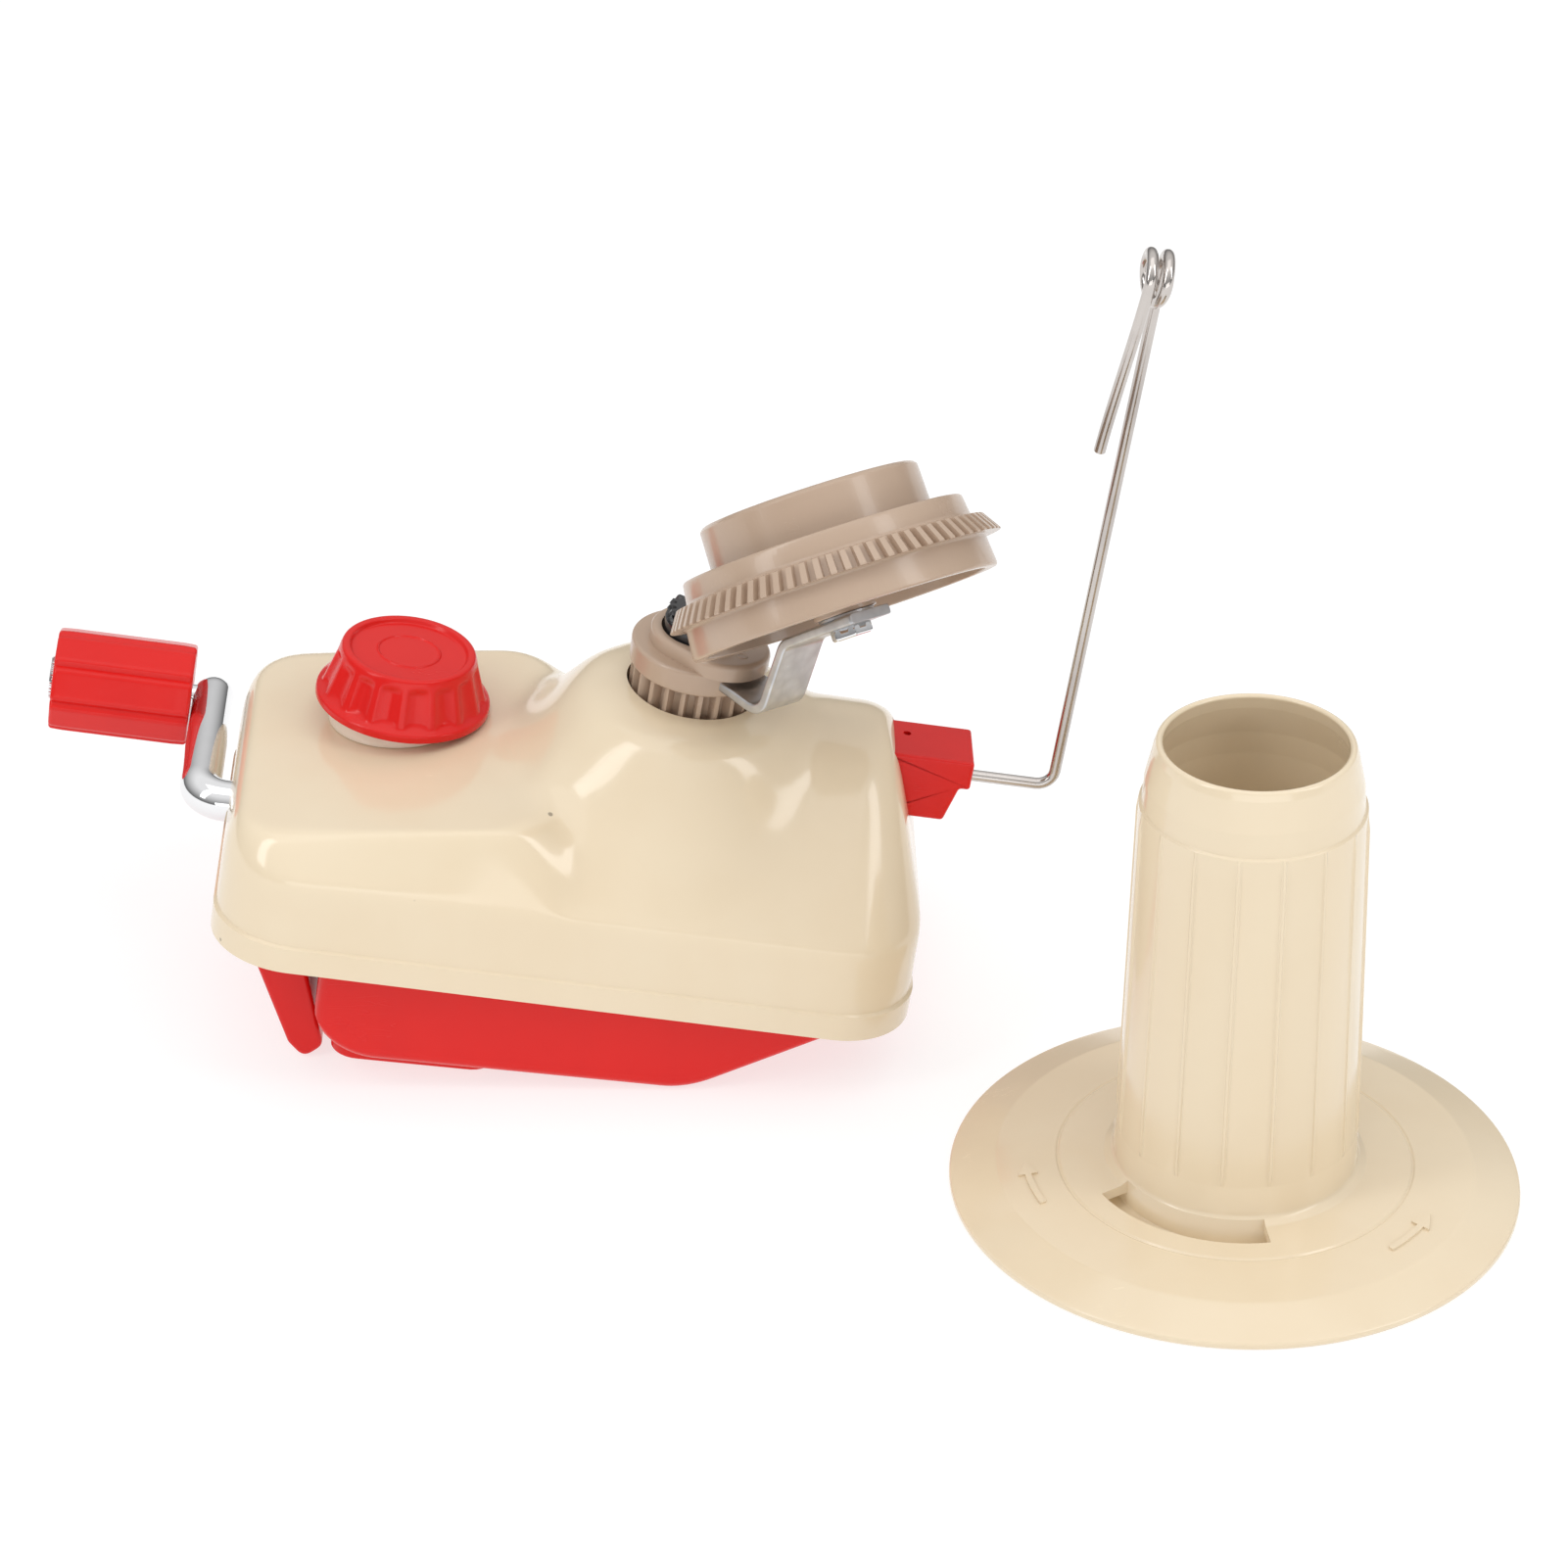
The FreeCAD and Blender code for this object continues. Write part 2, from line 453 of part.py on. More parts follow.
def make_drive_gear():
    module = 2 * PINION_PITCH_R / PINION_TEETH
    gear = spur_gear(PINION_TEETH, PINION_PITCH_R - 1.2 * module, PINION_PITCH_R + 0.85 * module,
                     GEAR_BOTTOM, GEAR_TOP, pi)
    bore = rod(POST_R + RUNNING_GAP, (SPINDLE_X, 0, 20), (SPINDLE_X, 0, 60))
    return at(gear, SPINDLE_X, 0, 0).cut(fuse([bore] + rivet_holes(RIVET_BOTTOM, GEAR_TOP + 1)))


def make_carrier_flange():
    """Disc moulded round the bracket's foot, with the off-centre boss that rings the sun gear."""
    disc = Part.makeCylinder(FLANGE_R, FLANGE_TOP - GEAR_TOP, V(SPINDLE_X, 0, GEAR_TOP))
    far = spindle(BOSS_FAR_OUT, FLANGE_TOP - 0.1)
    height = BOSS_TOP - FLANGE_TOP + 0.1
    boss = [Part.makeCylinder(BOSS_R, height, V(SPINDLE_X, 0, FLANGE_TOP - 0.1)),
            Part.makeCylinder(BOSS_FAR_R, height, far)]
    bridge = Part.makePolygon([spindle(0, far.z, -BOSS_R), spindle(BOSS_FAR_OUT, far.z, -BOSS_FAR_R),
                               spindle(BOSS_FAR_OUT, far.z, BOSS_FAR_R), spindle(0, far.z, BOSS_R),
                               spindle(0, far.z, -BOSS_R)])
    boss.append(Part.Face(bridge).extrude(V(0, 0, height)))
    body = fuse([disc] + boss)
    bores = [rod(POST_R + RUNNING_GAP, (SPINDLE_X, 0, 50), (SPINDLE_X, 0, 70)),
             rod(SUN_COLLAR_R + 0.4, (SPINDLE_X, 0, FLANGE_TOP), (SPINDLE_X, 0, 70)),
             Part.makeCylinder(1.0, 1.0, spindle(12.0, BOSS_TOP - 0.4))]
    return body.cut(fuse(bores + rivet_holes(GEAR_TOP - 1, RIVET_TOP))).cut(make_rotor_bracket())


def bracket_line():
    """Middle line of the strip in the plane of the spindle and the rotor's axis: (radius, height)."""
    pin = rotor_centre - ROTOR_AXIS * 8.6
    pin_r = (pin - V(SPINDLE_X, 0, 0)).dot(OUT)

    def up_the_plate(distance):
        return (pin_r + distance * cos(tilt), pin.z + distance * sin(tilt))
    return [(6.0, BRACKET_FOOT_Z), (BRACKET_WEB_OUT, BRACKET_FOOT_Z),
            up_the_plate(-BRACKET_TOP_BEND), up_the_plate(BRACKET_TIP)]


def beside(line, side):
    """The line moved sideways by a distance, with its corners mitred."""
    points = []
    for i, (r, z) in enumerate(line):
        (r0, z0), (r1, z1) = line[max(i - 1, 0)], line[min(i + 1, len(line) - 1)]
        into = atan2(z - z0, r - r0) if i else atan2(z1 - z, r1 - r)
        out_of = atan2(z1 - z, r1 - r) if i < len(line) - 1 else into
        middle, reach = (into + out_of) / 2, side / cos((out_of - into) / 2)
        points.append((r - reach * sin(middle), z + reach * cos(middle)))
    return points


def round_corner(shape, point, radius):
    """Fillet the edge that passes nearest to a (radius, height) point of the bracket's plane."""
    place = spindle(*point)
    return shape.makeFillet(radius, [min(shape.Edges, key=lambda e: (e.CenterOfMass - place).Length)])


def make_rotor_bracket():
    """Zinc-plated strip bent twice: foot inside the flange, web, and top plate square to the pin."""
    line, half = bracket_line(), BRACKET_HALF_WIDTH
    below, above = beside(line, -BRACKET_THICK / 2), beside(line, BRACKET_THICK / 2)
    outline = below + above[::-1]
    wire = Part.makePolygon([spindle(r, z, -half) for r, z in outline + outline[:1]])
    strip = Part.Face(wire).extrude(SIDE * 2 * half)
    for point, radius in ((above[1], BEND_INNER_R), (below[1], BEND_INNER_R + BRACKET_THICK),
                          (below[2], BEND_INNER_R), (above[2], BEND_INNER_R + BRACKET_THICK)):
        strip = round_corner(strip, point, radius)
    foot_bottom = BRACKET_FOOT_Z - BRACKET_THICK / 2
    foot = Part.makeCylinder(9.6, BRACKET_THICK, V(SPINDLE_X, 0, foot_bottom))
    bores = [Part.makeCylinder(5.0, 6, V(SPINDLE_X, 0, foot_bottom - 2)),
             on_rotor(Part.makeCylinder(ROTOR_PIN_R, 8, V(0, 0, -12)))]
    return fuse([strip, foot]).cut(fuse(bores + rivet_holes(RIVET_BOTTOM, RIVET_TOP)))


def make_carrier_rivets():
    return Part.makeCompound(rivet_holes(RIVET_BOTTOM, RIVET_TOP))


def make_rotor_pin():
    shank = Part.makeCylinder(ROTOR_PIN_R, 21.4, V(0, 0, -10.4))
    groove = Part.makeCylinder(3.5, 0.8, V(0, 0, 9.4)).cut(Part.makeCylinder(2.0, 0.8, V(0, 0, 9.4)))
    return on_rotor(shank.cut(groove))


def make_pin_nut():
    points = [V(4.3 * cos(pi * k / 3), 4.3 * sin(pi * k / 3), -12.2) for k in range(6)]
    nut = Part.Face(Part.makePolygon(points + points[:1])).extrude(V(0, 0, 2.6))
    return on_rotor(nut.cut(Part.makeCylinder(ROTOR_PIN_R, 5, V(0, 0, -13))))


def make_rotor_washer():
    ring = Part.makeCylinder(5.5, 0.5, V(0, 0, -7.6)).cut(Part.makeCylinder(ROTOR_PIN_R, 1, V(0, 0, -8)))
    return on_rotor(ring)


def make_rotor_clip():
    ring = Part.makeCylinder(4.6, 0.7, V(0, 0, 9.45)).cut(Part.makeCylinder(2.0, 1, V(0, 0, 9.2)))
    ring = ring.cut(box(1.0, 6.0, -1.0, 1.0, 9, 11))
    return on_rotor(ring)


# ---- sun gear and rotor ----
def cone_levels(cone, levels, addendum, dedendum):
    """Root and tip radii of a bevel gear at distances below its apex."""
    return [(-drop, drop * tan(cone) - dedendum, drop * tan(cone) + addendum) for drop in levels]


def make_sun_gear():
    levels = [(APEX_Z + z, root, tip) for z, root, tip in
              cone_levels(SUN_CONE, (APEX_Z - SUN_BOTTOM_Z, APEX_Z - SUN_TOP_Z), 0.62, 0.85)]
    teeth = bevel_gear(SUN_TEETH, levels, azimuth)
    collar = revolve([(POST_R, 61.4), (SUN_COLLAR_R, 61.4), (SUN_COLLAR_R, 65.8), (6.4, 65.8),
                      (6.4, 64.6), (5.4, 64.6), (5.4, 69.4), (POST_R, 69.4)])
    gear = fuse([teeth, collar]).cut(Part.makeCylinder(POST_R, 30, V(0, 0, 55)))
    return at(gear, SPINDLE_X, 0, 0)


def make_sun_screw():
    head = at(Part.makeCone(2.8, 2.2, 1.2), SPINDLE_X, 0, POST_TOP)
    return head.cut(box(SPINDLE_X - 5, SPINDLE_X + 5, -0.4, 0.4, POST_TOP + 0.6, POST_TOP + 2))


def make_rotor():
    """Bevel ring, skirt and spool seat, turned about the tilted pin."""
    tooth_top, tooth_bottom = 2.9, -0.5
    levels = []
    for z in (tooth_bottom, tooth_top):
        pitch_r = (APEX_FROM_ROTOR - z) * tan(ROTOR_CONE)
        levels.append((z, pitch_r - 0.8, pitch_r + 0.55))
    teeth = bevel_gear(ROTOR_TEETH, levels, pi + pi / ROTOR_TEETH)
    inner = Part.makeCylinder(27.0, 10, V(0, 0, -3))
    body = revolve([(27.8, -7.1), (30.4, -7.1), (29.9, -1.6), (30.9, -0.5), (29.0, 2.9), (28.4, 3.1),
                    (27.8, 7.95), (25.6, 7.95), (25.4, 4.4), (22.0, 4.4), (21.7, 16.0), (21.0, 16.8),
                    (19.9, 16.8), (19.9, 14.4), (19.3, 14.4), (19.3, 2.2), (6.2, 2.2), (6.2, 9.2),
                    (ROTOR_PIN_R + RUNNING_GAP, 9.2), (ROTOR_PIN_R + RUNNING_GAP, -7.0), (6.2, -7.0), (6.2, 0.0),
                    (27.4, 0.0)])
    return on_rotor(fuse([body, teeth.cut(inner)]))


def make_rotor_cap():
    cap = Part.makeCylinder(19.85, 1.7, V(0, 0, 14.4))
    cap = cap.cut(Part.makeCylinder(16.0, 1.0, V(0, 0, 15.5)))
    lug = box(-16.5, -13.0, -1.2, 1.2, 15.0, 16.9)
    return on_rotor(fuse([cap, lug]))


# ---- yarn guide ----
def make_guide_arm():
    arm = extrude_xz([(ARM_ROOT_X, ARM_TOP), (ARM_END_X, ARM_TOP), (ARM_END_X, 39.0), (73.9, 39.0),
                      (71.8, ARM_BOTTOM), (ARM_ROOT_X, ARM_BOTTOM)], ARM_HALF_WIDTH)
    holes = [rod(WIRE_R, (64.0, WIRE_Y, WIRE_ROOT_Z), (80.0, WIRE_Y, WIRE_ROOT_Z)),
             rod(0.8, (62.7, 1.9, 42.0), (62.7, 1.9, 47.0)),
             rod(ARM_SCREW_R, (ARM_SCREW_X, 0, 31), (ARM_SCREW_X, 0, 40))]
    return arm.cut(fuse(holes))


def make_arm_screw():
    return fuse([rod(ARM_SCREW_R, (ARM_SCREW_X, 0, ARM_BOTTOM - 0.1), (ARM_SCREW_X, 0, 39)),
                 rod(2.6, (ARM_SCREW_X, 0, ARM_BOTTOM - 1.5), (ARM_SCREW_X, 0, ARM_BOTTOM))])


def make_yarn_wire():
    """Stiff wire: root in the arm, elbow, upright, two-turn eye and free tail."""
    bend, x, elbow = WIRE_ELBOW_R, WIRE_X, WIRE_ROOT_Z
    k = bend * (1 - sqrt(0.5))
    start = V(64.2, WIRE_Y, elbow)
    turn_in, turn_out = V(x - bend, WIRE_Y, elbow), V(x, WIRE_Y, elbow + bend)
    path = Part.Wire([Part.LineSegment(start, turn_in).toShape(),
                      Part.Arc(turn_in, V(x - k, WIRE_Y, elbow + k), turn_out).toShape(),
                      Part.LineSegment(turn_out, V(x, WIRE_Y, EYE_Z)).toShape()])
    section = Part.Wire(Part.Circle(start, V(1, 0, 0), WIRE_R).toShape())
    stem = path.makePipeShell([section], True, True)
    eye_y, second_x = WIRE_Y - EYE_R, x - EYE_TURN_GAP
    rings = [Part.makeTorus(EYE_R, WIRE_R, V(ring_x, eye_y, EYE_Z), V(1, 0, 0)) for ring_x in (x, second_x)]
    link = rod(WIRE_R * 0.9, (second_x, eye_y, EYE_Z + EYE_R), (x, eye_y, EYE_Z + EYE_R))
    tail = rod(WIRE_R, (second_x, eye_y - EYE_R * 0.2, EYE_Z - EYE_R * 0.9),
               (x - 5.8, -12.0, EYE_Z - WIRE_TAIL_DROP))
    return fuse([stem] + rings + [link, tail])


# ---- spool ----
def make_spool():
    """Pull-off spool: dished foot, ribbed tapering tube, necked rim and latch window."""
    top, foot_r = SPOOL_HEIGHT, SPOOL_R
    shell = revolve([(foot_r - 0.4, 0.0), (foot_r, 0.4), (foot_r, 1.4), (46.0, 4.4), (34.2, 5.6), (34.0, 5.3),
                     (33.8, 5.6), (24.6, 6.6), (23.5, 7.6), (23.0, 14.0), (21.3, 85.0), (20.8, 85.3),
                     (20.4, 90.0), (19.0, top - 1.8), (18.4, top - 0.3), (17.8, top), (17.2, top - 0.4), (17.6, 95.0),
                     (19.2, 89.0), (19.8, 84.0), (21.5, 14.0), (22.0, 10.0), (22.0, 3.0), (22.6, 2.2),
                     (24.4, 4.6), (33.8, 3.7), (45.6, 2.5), (foot_r - 1.6, 0.0)])
    slope = degrees(atan2(23.0 - 21.3, 85.0 - 14.0))
    ribs = []
    for k in range(SPOOL_RIBS):
        rib = box(-0.35, 0.35, -0.5, 0.28, 0, 70.0)
        rib.rotate(V(0, 0, 0), V(1, 0, 0), slope)
        rib = at(rib, 0, 22.95, 14.2)
        rib.rotate(V(0, 0, 0), UP, 360.0 * (k + 0.5) / SPOOL_RIBS)
        ribs.append(rib)
    window = Part.makeCylinder(29.6, 12, V(0, 0, 0), UP, 72.0).cut(Part.makeCylinder(23.9, 12, V(0, 0, 0)))
    window.rotate(V(0, 0, 0), UP, -153.0)
    return fuse([shell] + ribs).cut(window)


# ---- assembly ----
MACHINE_NODES = {
    "top_cover": make_top_cover,
    "base_housing": make_base_housing,
    "cover_screws": make_cover_screws,
    "knob_washer": make_knob_washer,
    "crank_bush_outer": lambda: make_bush(-64.0, -59.0, -59.0),
    "crank_bush_inner": lambda: make_bush(-9.0, -5.0, -5.0),
    "centre_post": make_centre_post,
    "thrust_washer": make_thrust_washer,
    "sun_gear": make_sun_gear,
    "sun_gear_screw": make_sun_screw,
    "guide_arm": make_guide_arm,
    "guide_arm_screw": make_arm_screw,
    "yarn_guide_wire": make_yarn_wire,
    "clamp_knob": make_clamp_knob,
    "clamp_nut": make_clamp_nut,
    "knob_circlip": make_knob_circlip,
    "clamp_jaw": make_clamp_jaw,
    "jaw_pad": make_jaw_pad,
    "clamp_screw": make_clamp_screw,
    "jaw_guide_rod": make_jaw_guide_rod,
    "crank": make_crank,
    "crown_gear": make_crown_gear,
    "crank_clip": make_crank_clip,
    "grip_pin": make_grip_pin,
    "crank_grip": make_crank_grip,
    "drive_gear": make_drive_gear,
    "carrier_flange": make_carrier_flange,
    "rotor_bracket": make_rotor_bracket,
    "carrier_rivets": make_carrier_rivets,
    "rotor_pin": make_rotor_pin,
    "rotor_pin_nut": make_pin_nut,
    "rotor_washer": make_rotor_washer,
    "rotor_clip": make_rotor_clip,
    "rotor": make_rotor,
    "rotor_cap": make_rotor_cap,
}


def assemble():
    """Build every node and stand the machine and its spool on the floor, centred on the origin."""
    turn = FreeCAD.Rotation(UP, MACHINE_YAW).multiply(FreeCAD.Rotation(V(0, 1, 0), MACHINE_ROLL))
    machine = FreeCAD.Placement(V(*MACHINE_FROM_SPOOL, 0), turn)
    shapes = {name: build() for name, build in MACHINE_NODES.items()}
    for shape in shapes.values():
        shape.Placement = machine.multiply(shape.Placement)
    lift = -min(shape.optimalBoundingBox().ZMin for shape in shapes.values())
    for shape in shapes.values():
        shape.translate(V(0, 0, lift))
    shapes["spool"] = make_spool()
    boxes = [shape.optimalBoundingBox() for shape in shapes.values()]
    middle = V((min(b.XMin for b in boxes) + max(b.XMax for b in boxes)) / 2,
               (min(b.YMin for b in boxes) + max(b.YMax for b in boxes)) / 2, 0)
    for shape in shapes.values():
        shape.translate(-middle)
    machine.Base = machine.Base + V(0, 0, lift) - middle
    return shapes, machine, middle


def main():
    os.makedirs("parts", exist_ok=True)
    shapes, machine, middle = assemble()
    for name, shape in shapes.items():
        shape.exportStep("parts/" + name + ".step")
        print(name, "valid" if shape.isValid() else "INVALID", len(shape.Solids), round(shape.Volume, 1))
    print("machine origin", machine.Base, "spool axis", -middle)
    print("knob turns over the jaw's travel", JAW_TRAVEL / SCREW_LEAD)


main()
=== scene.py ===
"""Looks of the ball winder: smooth skins for its mouldings, metal and gears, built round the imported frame.

Every length inside a class is in millimetres in that sub-assembly's own place; a Place turns them into
metres in the row's frame.  The machine's place comes from the crank's and the carrier's axes.
"""
import json
import logging
from dataclasses import dataclass
from enum import Enum
from math import atan2, cos, pi, radians, sin, tan
from typing import Callable, Sequence

import bmesh
import bpy
import numpy as np
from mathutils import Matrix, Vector


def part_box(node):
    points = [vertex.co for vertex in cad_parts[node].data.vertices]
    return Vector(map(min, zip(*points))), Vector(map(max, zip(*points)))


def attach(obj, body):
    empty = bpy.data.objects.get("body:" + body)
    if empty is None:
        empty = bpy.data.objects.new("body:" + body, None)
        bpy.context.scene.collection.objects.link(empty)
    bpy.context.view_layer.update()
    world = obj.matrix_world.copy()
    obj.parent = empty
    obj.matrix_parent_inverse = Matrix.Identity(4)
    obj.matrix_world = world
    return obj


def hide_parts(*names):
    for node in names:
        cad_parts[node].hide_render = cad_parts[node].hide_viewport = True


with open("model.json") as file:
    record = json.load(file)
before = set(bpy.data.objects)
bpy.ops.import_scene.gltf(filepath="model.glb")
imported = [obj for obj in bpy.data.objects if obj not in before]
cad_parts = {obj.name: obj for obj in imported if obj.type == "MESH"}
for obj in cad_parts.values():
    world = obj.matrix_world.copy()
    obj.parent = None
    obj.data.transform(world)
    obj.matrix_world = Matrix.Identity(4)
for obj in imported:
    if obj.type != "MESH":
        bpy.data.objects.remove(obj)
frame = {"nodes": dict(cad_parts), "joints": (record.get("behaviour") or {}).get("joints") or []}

log = logging.getLogger("ball_winder")
MM = 0.001
Array = np.ndarray
RGB = tuple[float, float, float]

SPINDLE = 18.7  # x of the carrier's spindle in the machine's place, mm
CRANK_HEIGHT = 11.0  # z of the crank's shaft, mm
KNOB_AT = (-37.4, 10.2)  # x and y of the clamp knob, mm
SUN_TEETH = 19
ROTOR_TEETH = 73


def tray_floor(x: Array) -> Array:
    """Height of the tray's nearly level underside: -21.6 at x = -36 and 1.75 mm higher 62 mm further on."""
    return -21.6 + (x + 36.0) * 1.75 / 62.0


# ---------------------------------------------------------------- places
@dataclass(frozen=True)
class Place:
    """A right-handed frame inside the row's frame: origin in metres and three unit axes."""

    origin: Array
    x: Array
    y: Array
    z: Array

    def world(self, points: Array) -> Array:
        """Row-frame metres of points in this place's millimetres: origin + x*X + y*Y + z*Z."""
        return self.origin + (np.asarray(points, float) * MM) @ np.stack([self.x, self.y, self.z])

    def towards(self, direction: Sequence[float]) -> Array:
        """Row-frame direction of a direction in this place."""
        return np.asarray(direction, float) @ np.stack([self.x, self.y, self.z])

    def moved(self, x: float, y: float, z: float) -> "Place":
        """The same axes with the origin moved by millimetres along them."""
        return Place(self.world(np.array([x, y, z])), self.x, self.y, self.z)


def unit(v: Array) -> Array:
    """The vector or rows of vectors scaled to length one."""
    v = np.asarray(v, float)
    return v / np.linalg.norm(v, axis=-1, keepdims=True)


def joint(name: str) -> tuple[Array, Array]:
    """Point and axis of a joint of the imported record.

    Args:
        name: the joint's name.

    Returns:
        The joint's point in metres and its unit axis.
    """
    found = next(j for j in frame["joints"] if j["name"] == name)
    return np.array(found.get("pos_m", (0, 0, 0)), float), unit(np.array(found["axis"], float))


# ---------------------------------------------------------------- outlines and sections
def eased(corners: Sequence[Sequence[float]], steps: int = 6, closed: bool = True) -> Array:
    """Round an outline's corners.

    A corner C with cut c gives C + (1-t)^2 * c * a + t^2 * c * b for t from 0 to 1, where a and b point
    along the edges away from it and c = radius * tan(half the turn), at most 0.48 of either edge.

    Args:
        corners: rows of (first coordinate, second coordinate, radius).
        steps: intervals along each rounding.
        closed: whether the last corner joins the first.

    Returns:
        Points of the rounded outline, one row each.
    """
    data = np.asarray(corners, float)
    p, radius = data[:, :2], data[:, 2].copy()
    if not closed:
        radius[[0, -1]] = 0.0
    back, ahead = np.roll(p, 1, 0) - p, np.roll(p, -1, 0) - p
    if not closed:
        back[0], ahead[-1] = -ahead[0], -back[-1]
    lb, la = np.linalg.norm(back, axis=1), np.linalg.norm(ahead, axis=1)
    a, b = back / lb[:, None], ahead / la[:, None]
    turn = pi - np.arccos(np.clip((a * b).sum(1), -1, 1))
    cut = np.minimum(radius * np.tan(turn / 2), 0.48 * np.minimum(lb, la))
    t = np.linspace(0, 1, steps + 1)[None, :, None]
    c = cut[:, None, None]
    points = p[:, None] + (1 - t) ** 2 * c * a[:, None] + t**2 * c * b[:, None]
    points = points.reshape(-1, 2)
    gap = np.linalg.norm(points - np.roll(points, 1, 0), axis=1)
    keep = gap > 1e-5
    keep[0] = True
    return points[keep]


def filled_in(points: Array, spacing: float, closed: bool = True) -> Array:
    """Add points on an outline's long edges, evenly by length, and keep its own points.

    Args:
        points: outline points.
        spacing: longest edge wanted, mm.
        closed: whether the outline returns to its first point.

    Returns:
        The denser outline.
    """
    path = np.vstack([points, points[:1]]) if closed else points
    run = np.concatenate([[0], np.cumsum(np.linalg.norm(np.diff(path, axis=0), axis=1))])
    extra = np.arange(0, run[-1], spacing)
    near = np.abs(extra[:, None] - run[None]).min(1) > spacing * 0.3
    at = np.sort(np.concatenate([run, extra[near]]))
    at = at[:-1] if closed else at
    return np.stack([np.interp(at, run, path[:, k]) for k in range(path.shape[1])], 1)


def ring_angles(count: int) -> Array:
    """Evenly spaced angles round a circle, without the last one that repeats the first."""
    return np.arange(count) * 2 * pi / count


def rise(edge0: float, edge1: float, x: Array) -> Array:
    """Smooth step from 0 at edge0 to 1 at edge1: t*t*(3-2t)."""
    t = np.clip((x - edge0) / (edge1 - edge0), 0, 1)
    return t * t * (3 - 2 * t)


def soft_max(a: Array, b: Array, k: Array | float) -> Array:
    """The larger of a and b, with their crossing filled over a width k: max + k*h*h/4, h = 1 - |a-b|/k."""
    h = np.clip(1 - np.abs(a - b) / k, 0, 1)
    return np.maximum(a, b) + h * h * k / 4


def soft_min(a: Array, b: Array, k: Array | float) -> Array:
    """The smaller of a and b, with their crossing eased over a width k."""
    return -soft_max(-a, -b, k)


def rounded_box_outline(x0: float, x1: float, half: float, corner: float, count: int) -> Array:
    """Rounded rectangle from x0 to x1 and -half to half, as count points evenly spaced by length."""
    quarter = np.linspace(0, pi / 2, 24)
    parts = []
    for cx, cy, start in ((x1 - corner, half - corner, 0), (x0 + corner, half - corner, 1),
                          (x0 + corner, -half + corner, 2), (x1 - corner, -half + corner, 3)):
        a = quarter + start * pi / 2
        parts.append(np.stack([cx + corner * np.cos(a), cy + corner * np.sin(a)], 1))
    loop = np.vstack(parts + [parts[0][:1]])
    run = np.concatenate([[0], np.cumsum(np.linalg.norm(np.diff(loop, axis=0), axis=1))])
    at = np.arange(count) * run[-1] / count
    return np.stack([np.interp(at, run, loop[:, k]) for k in (0, 1)], 1)


def rounded_box_depth(x: Array, y: Array, x0: Array, x1: Array, half: Array, corner: Array) -> Array:
    """Signed distance to a rounded rectangle, negative inside: |max(q,0)| + min(max(qx,qy),0) - corner."""
    qx = np.abs(x - (x0 + x1) / 2) - (x1 - x0) / 2 + corner
    qy = np.abs(y) - half + corner
    outside = np.hypot(np.maximum(qx, 0), np.maximum(qy, 0))
    return outside + np.minimum(np.maximum(qx, qy), 0) - corner


# ---------------------------------------------------------------- meshes
class Skin:
    """Points and faces of one piece, gathered as grids in a place's millimetres."""

    def __init__(self, place: Place) -> None:
        """Start an empty skin in a place."""
        self.place = place
        self.points: list[Array] = []
        self.faces: list[list[int]] = []
        self.count = 0

    def grid(self, p: Array, round_v: bool = False, caps: str = "") -> "Skin":
        """Add a grid p[v, u] of points joined by quads, turned to face outwards; each row closes on itself.

        Args:
            p: array of rows, columns and three coordinates.
            round_v: whether the last row joins the first.
            caps: "first", "last" or "both" rows filled by one flat face.

        Returns:
            The skin itself.
        """
        rows, cols = p.shape[:2]
        v, u = np.meshgrid(np.arange(rows if round_v else rows - 1), np.arange(cols), indexing="ij")
        v2, u2 = (v + 1) % rows, (u + 1) % cols
        quads = np.stack([v * cols + u, v * cols + u2, v2 * cols + u2, v2 * cols + u], -1).reshape(-1, 4)
        flat = p.reshape(-1, 3)
        a, b, c, d = (flat[quads[:, k]] - flat.mean(0) for k in range(4))
        volume = (a * np.cross(b, c)).sum() + (a * np.cross(c, d)).sum()
        ends = []
        if caps in ("first", "both"):
            ends.append(np.arange(cols)[::-1])
        if caps in ("last", "both"):
            ends.append((rows - 1) * cols + np.arange(cols))
        for end in ends:
            q = flat[end] - flat.mean(0)
            volume += (q[0] * np.cross(q[1:-1], q[2:])).sum()
        step = 1 if volume > 0 else -1
        self.faces += (quads[:, ::step] + self.count).tolist()
        self.faces += [(end[::step] + self.count).tolist() for end in ends]
        self.points.append(flat)
        self.count += len(flat)
        return self

    def build(self, name: str, sharp: float = 32.0) -> bpy.types.Object:
        """Make the object: doubles merged, smooth faces, and edges sharper than an angle kept crisp.

        Args:
            name: the piece's name.
            sharp: angle in degrees above which an edge stays crisp.

        Returns:
            The new object, standing at the origin.
        """
        mesh = bpy.data.meshes.new(name)
        mesh.from_pydata(self.place.world(np.vstack(self.points)).tolist(), [], self.faces)
        clean(mesh, sharp)
        piece = bpy.data.objects.new(name, mesh)
        bpy.context.scene.collection.objects.link(piece)
        return piece


def clean(mesh: bpy.types.Mesh, sharp: float) -> None:
    """Merge doubles, drop collapsed faces and set smooth shading with crisp edges above an angle."""
    bm = bmesh.new()
    bm.from_mesh(mesh)
    bmesh.ops.remove_doubles(bm, verts=bm.verts, dist=2e-6)
    bmesh.ops.dissolve_degenerate(bm, edges=bm.edges, dist=1e-6)
    bm.to_mesh(mesh)
    bm.free()
    mesh.polygons.foreach_set("use_smooth", np.ones(len(mesh.polygons), bool))
    mesh.set_sharp_from_angle(angle=radians(sharp))
    mesh.update()


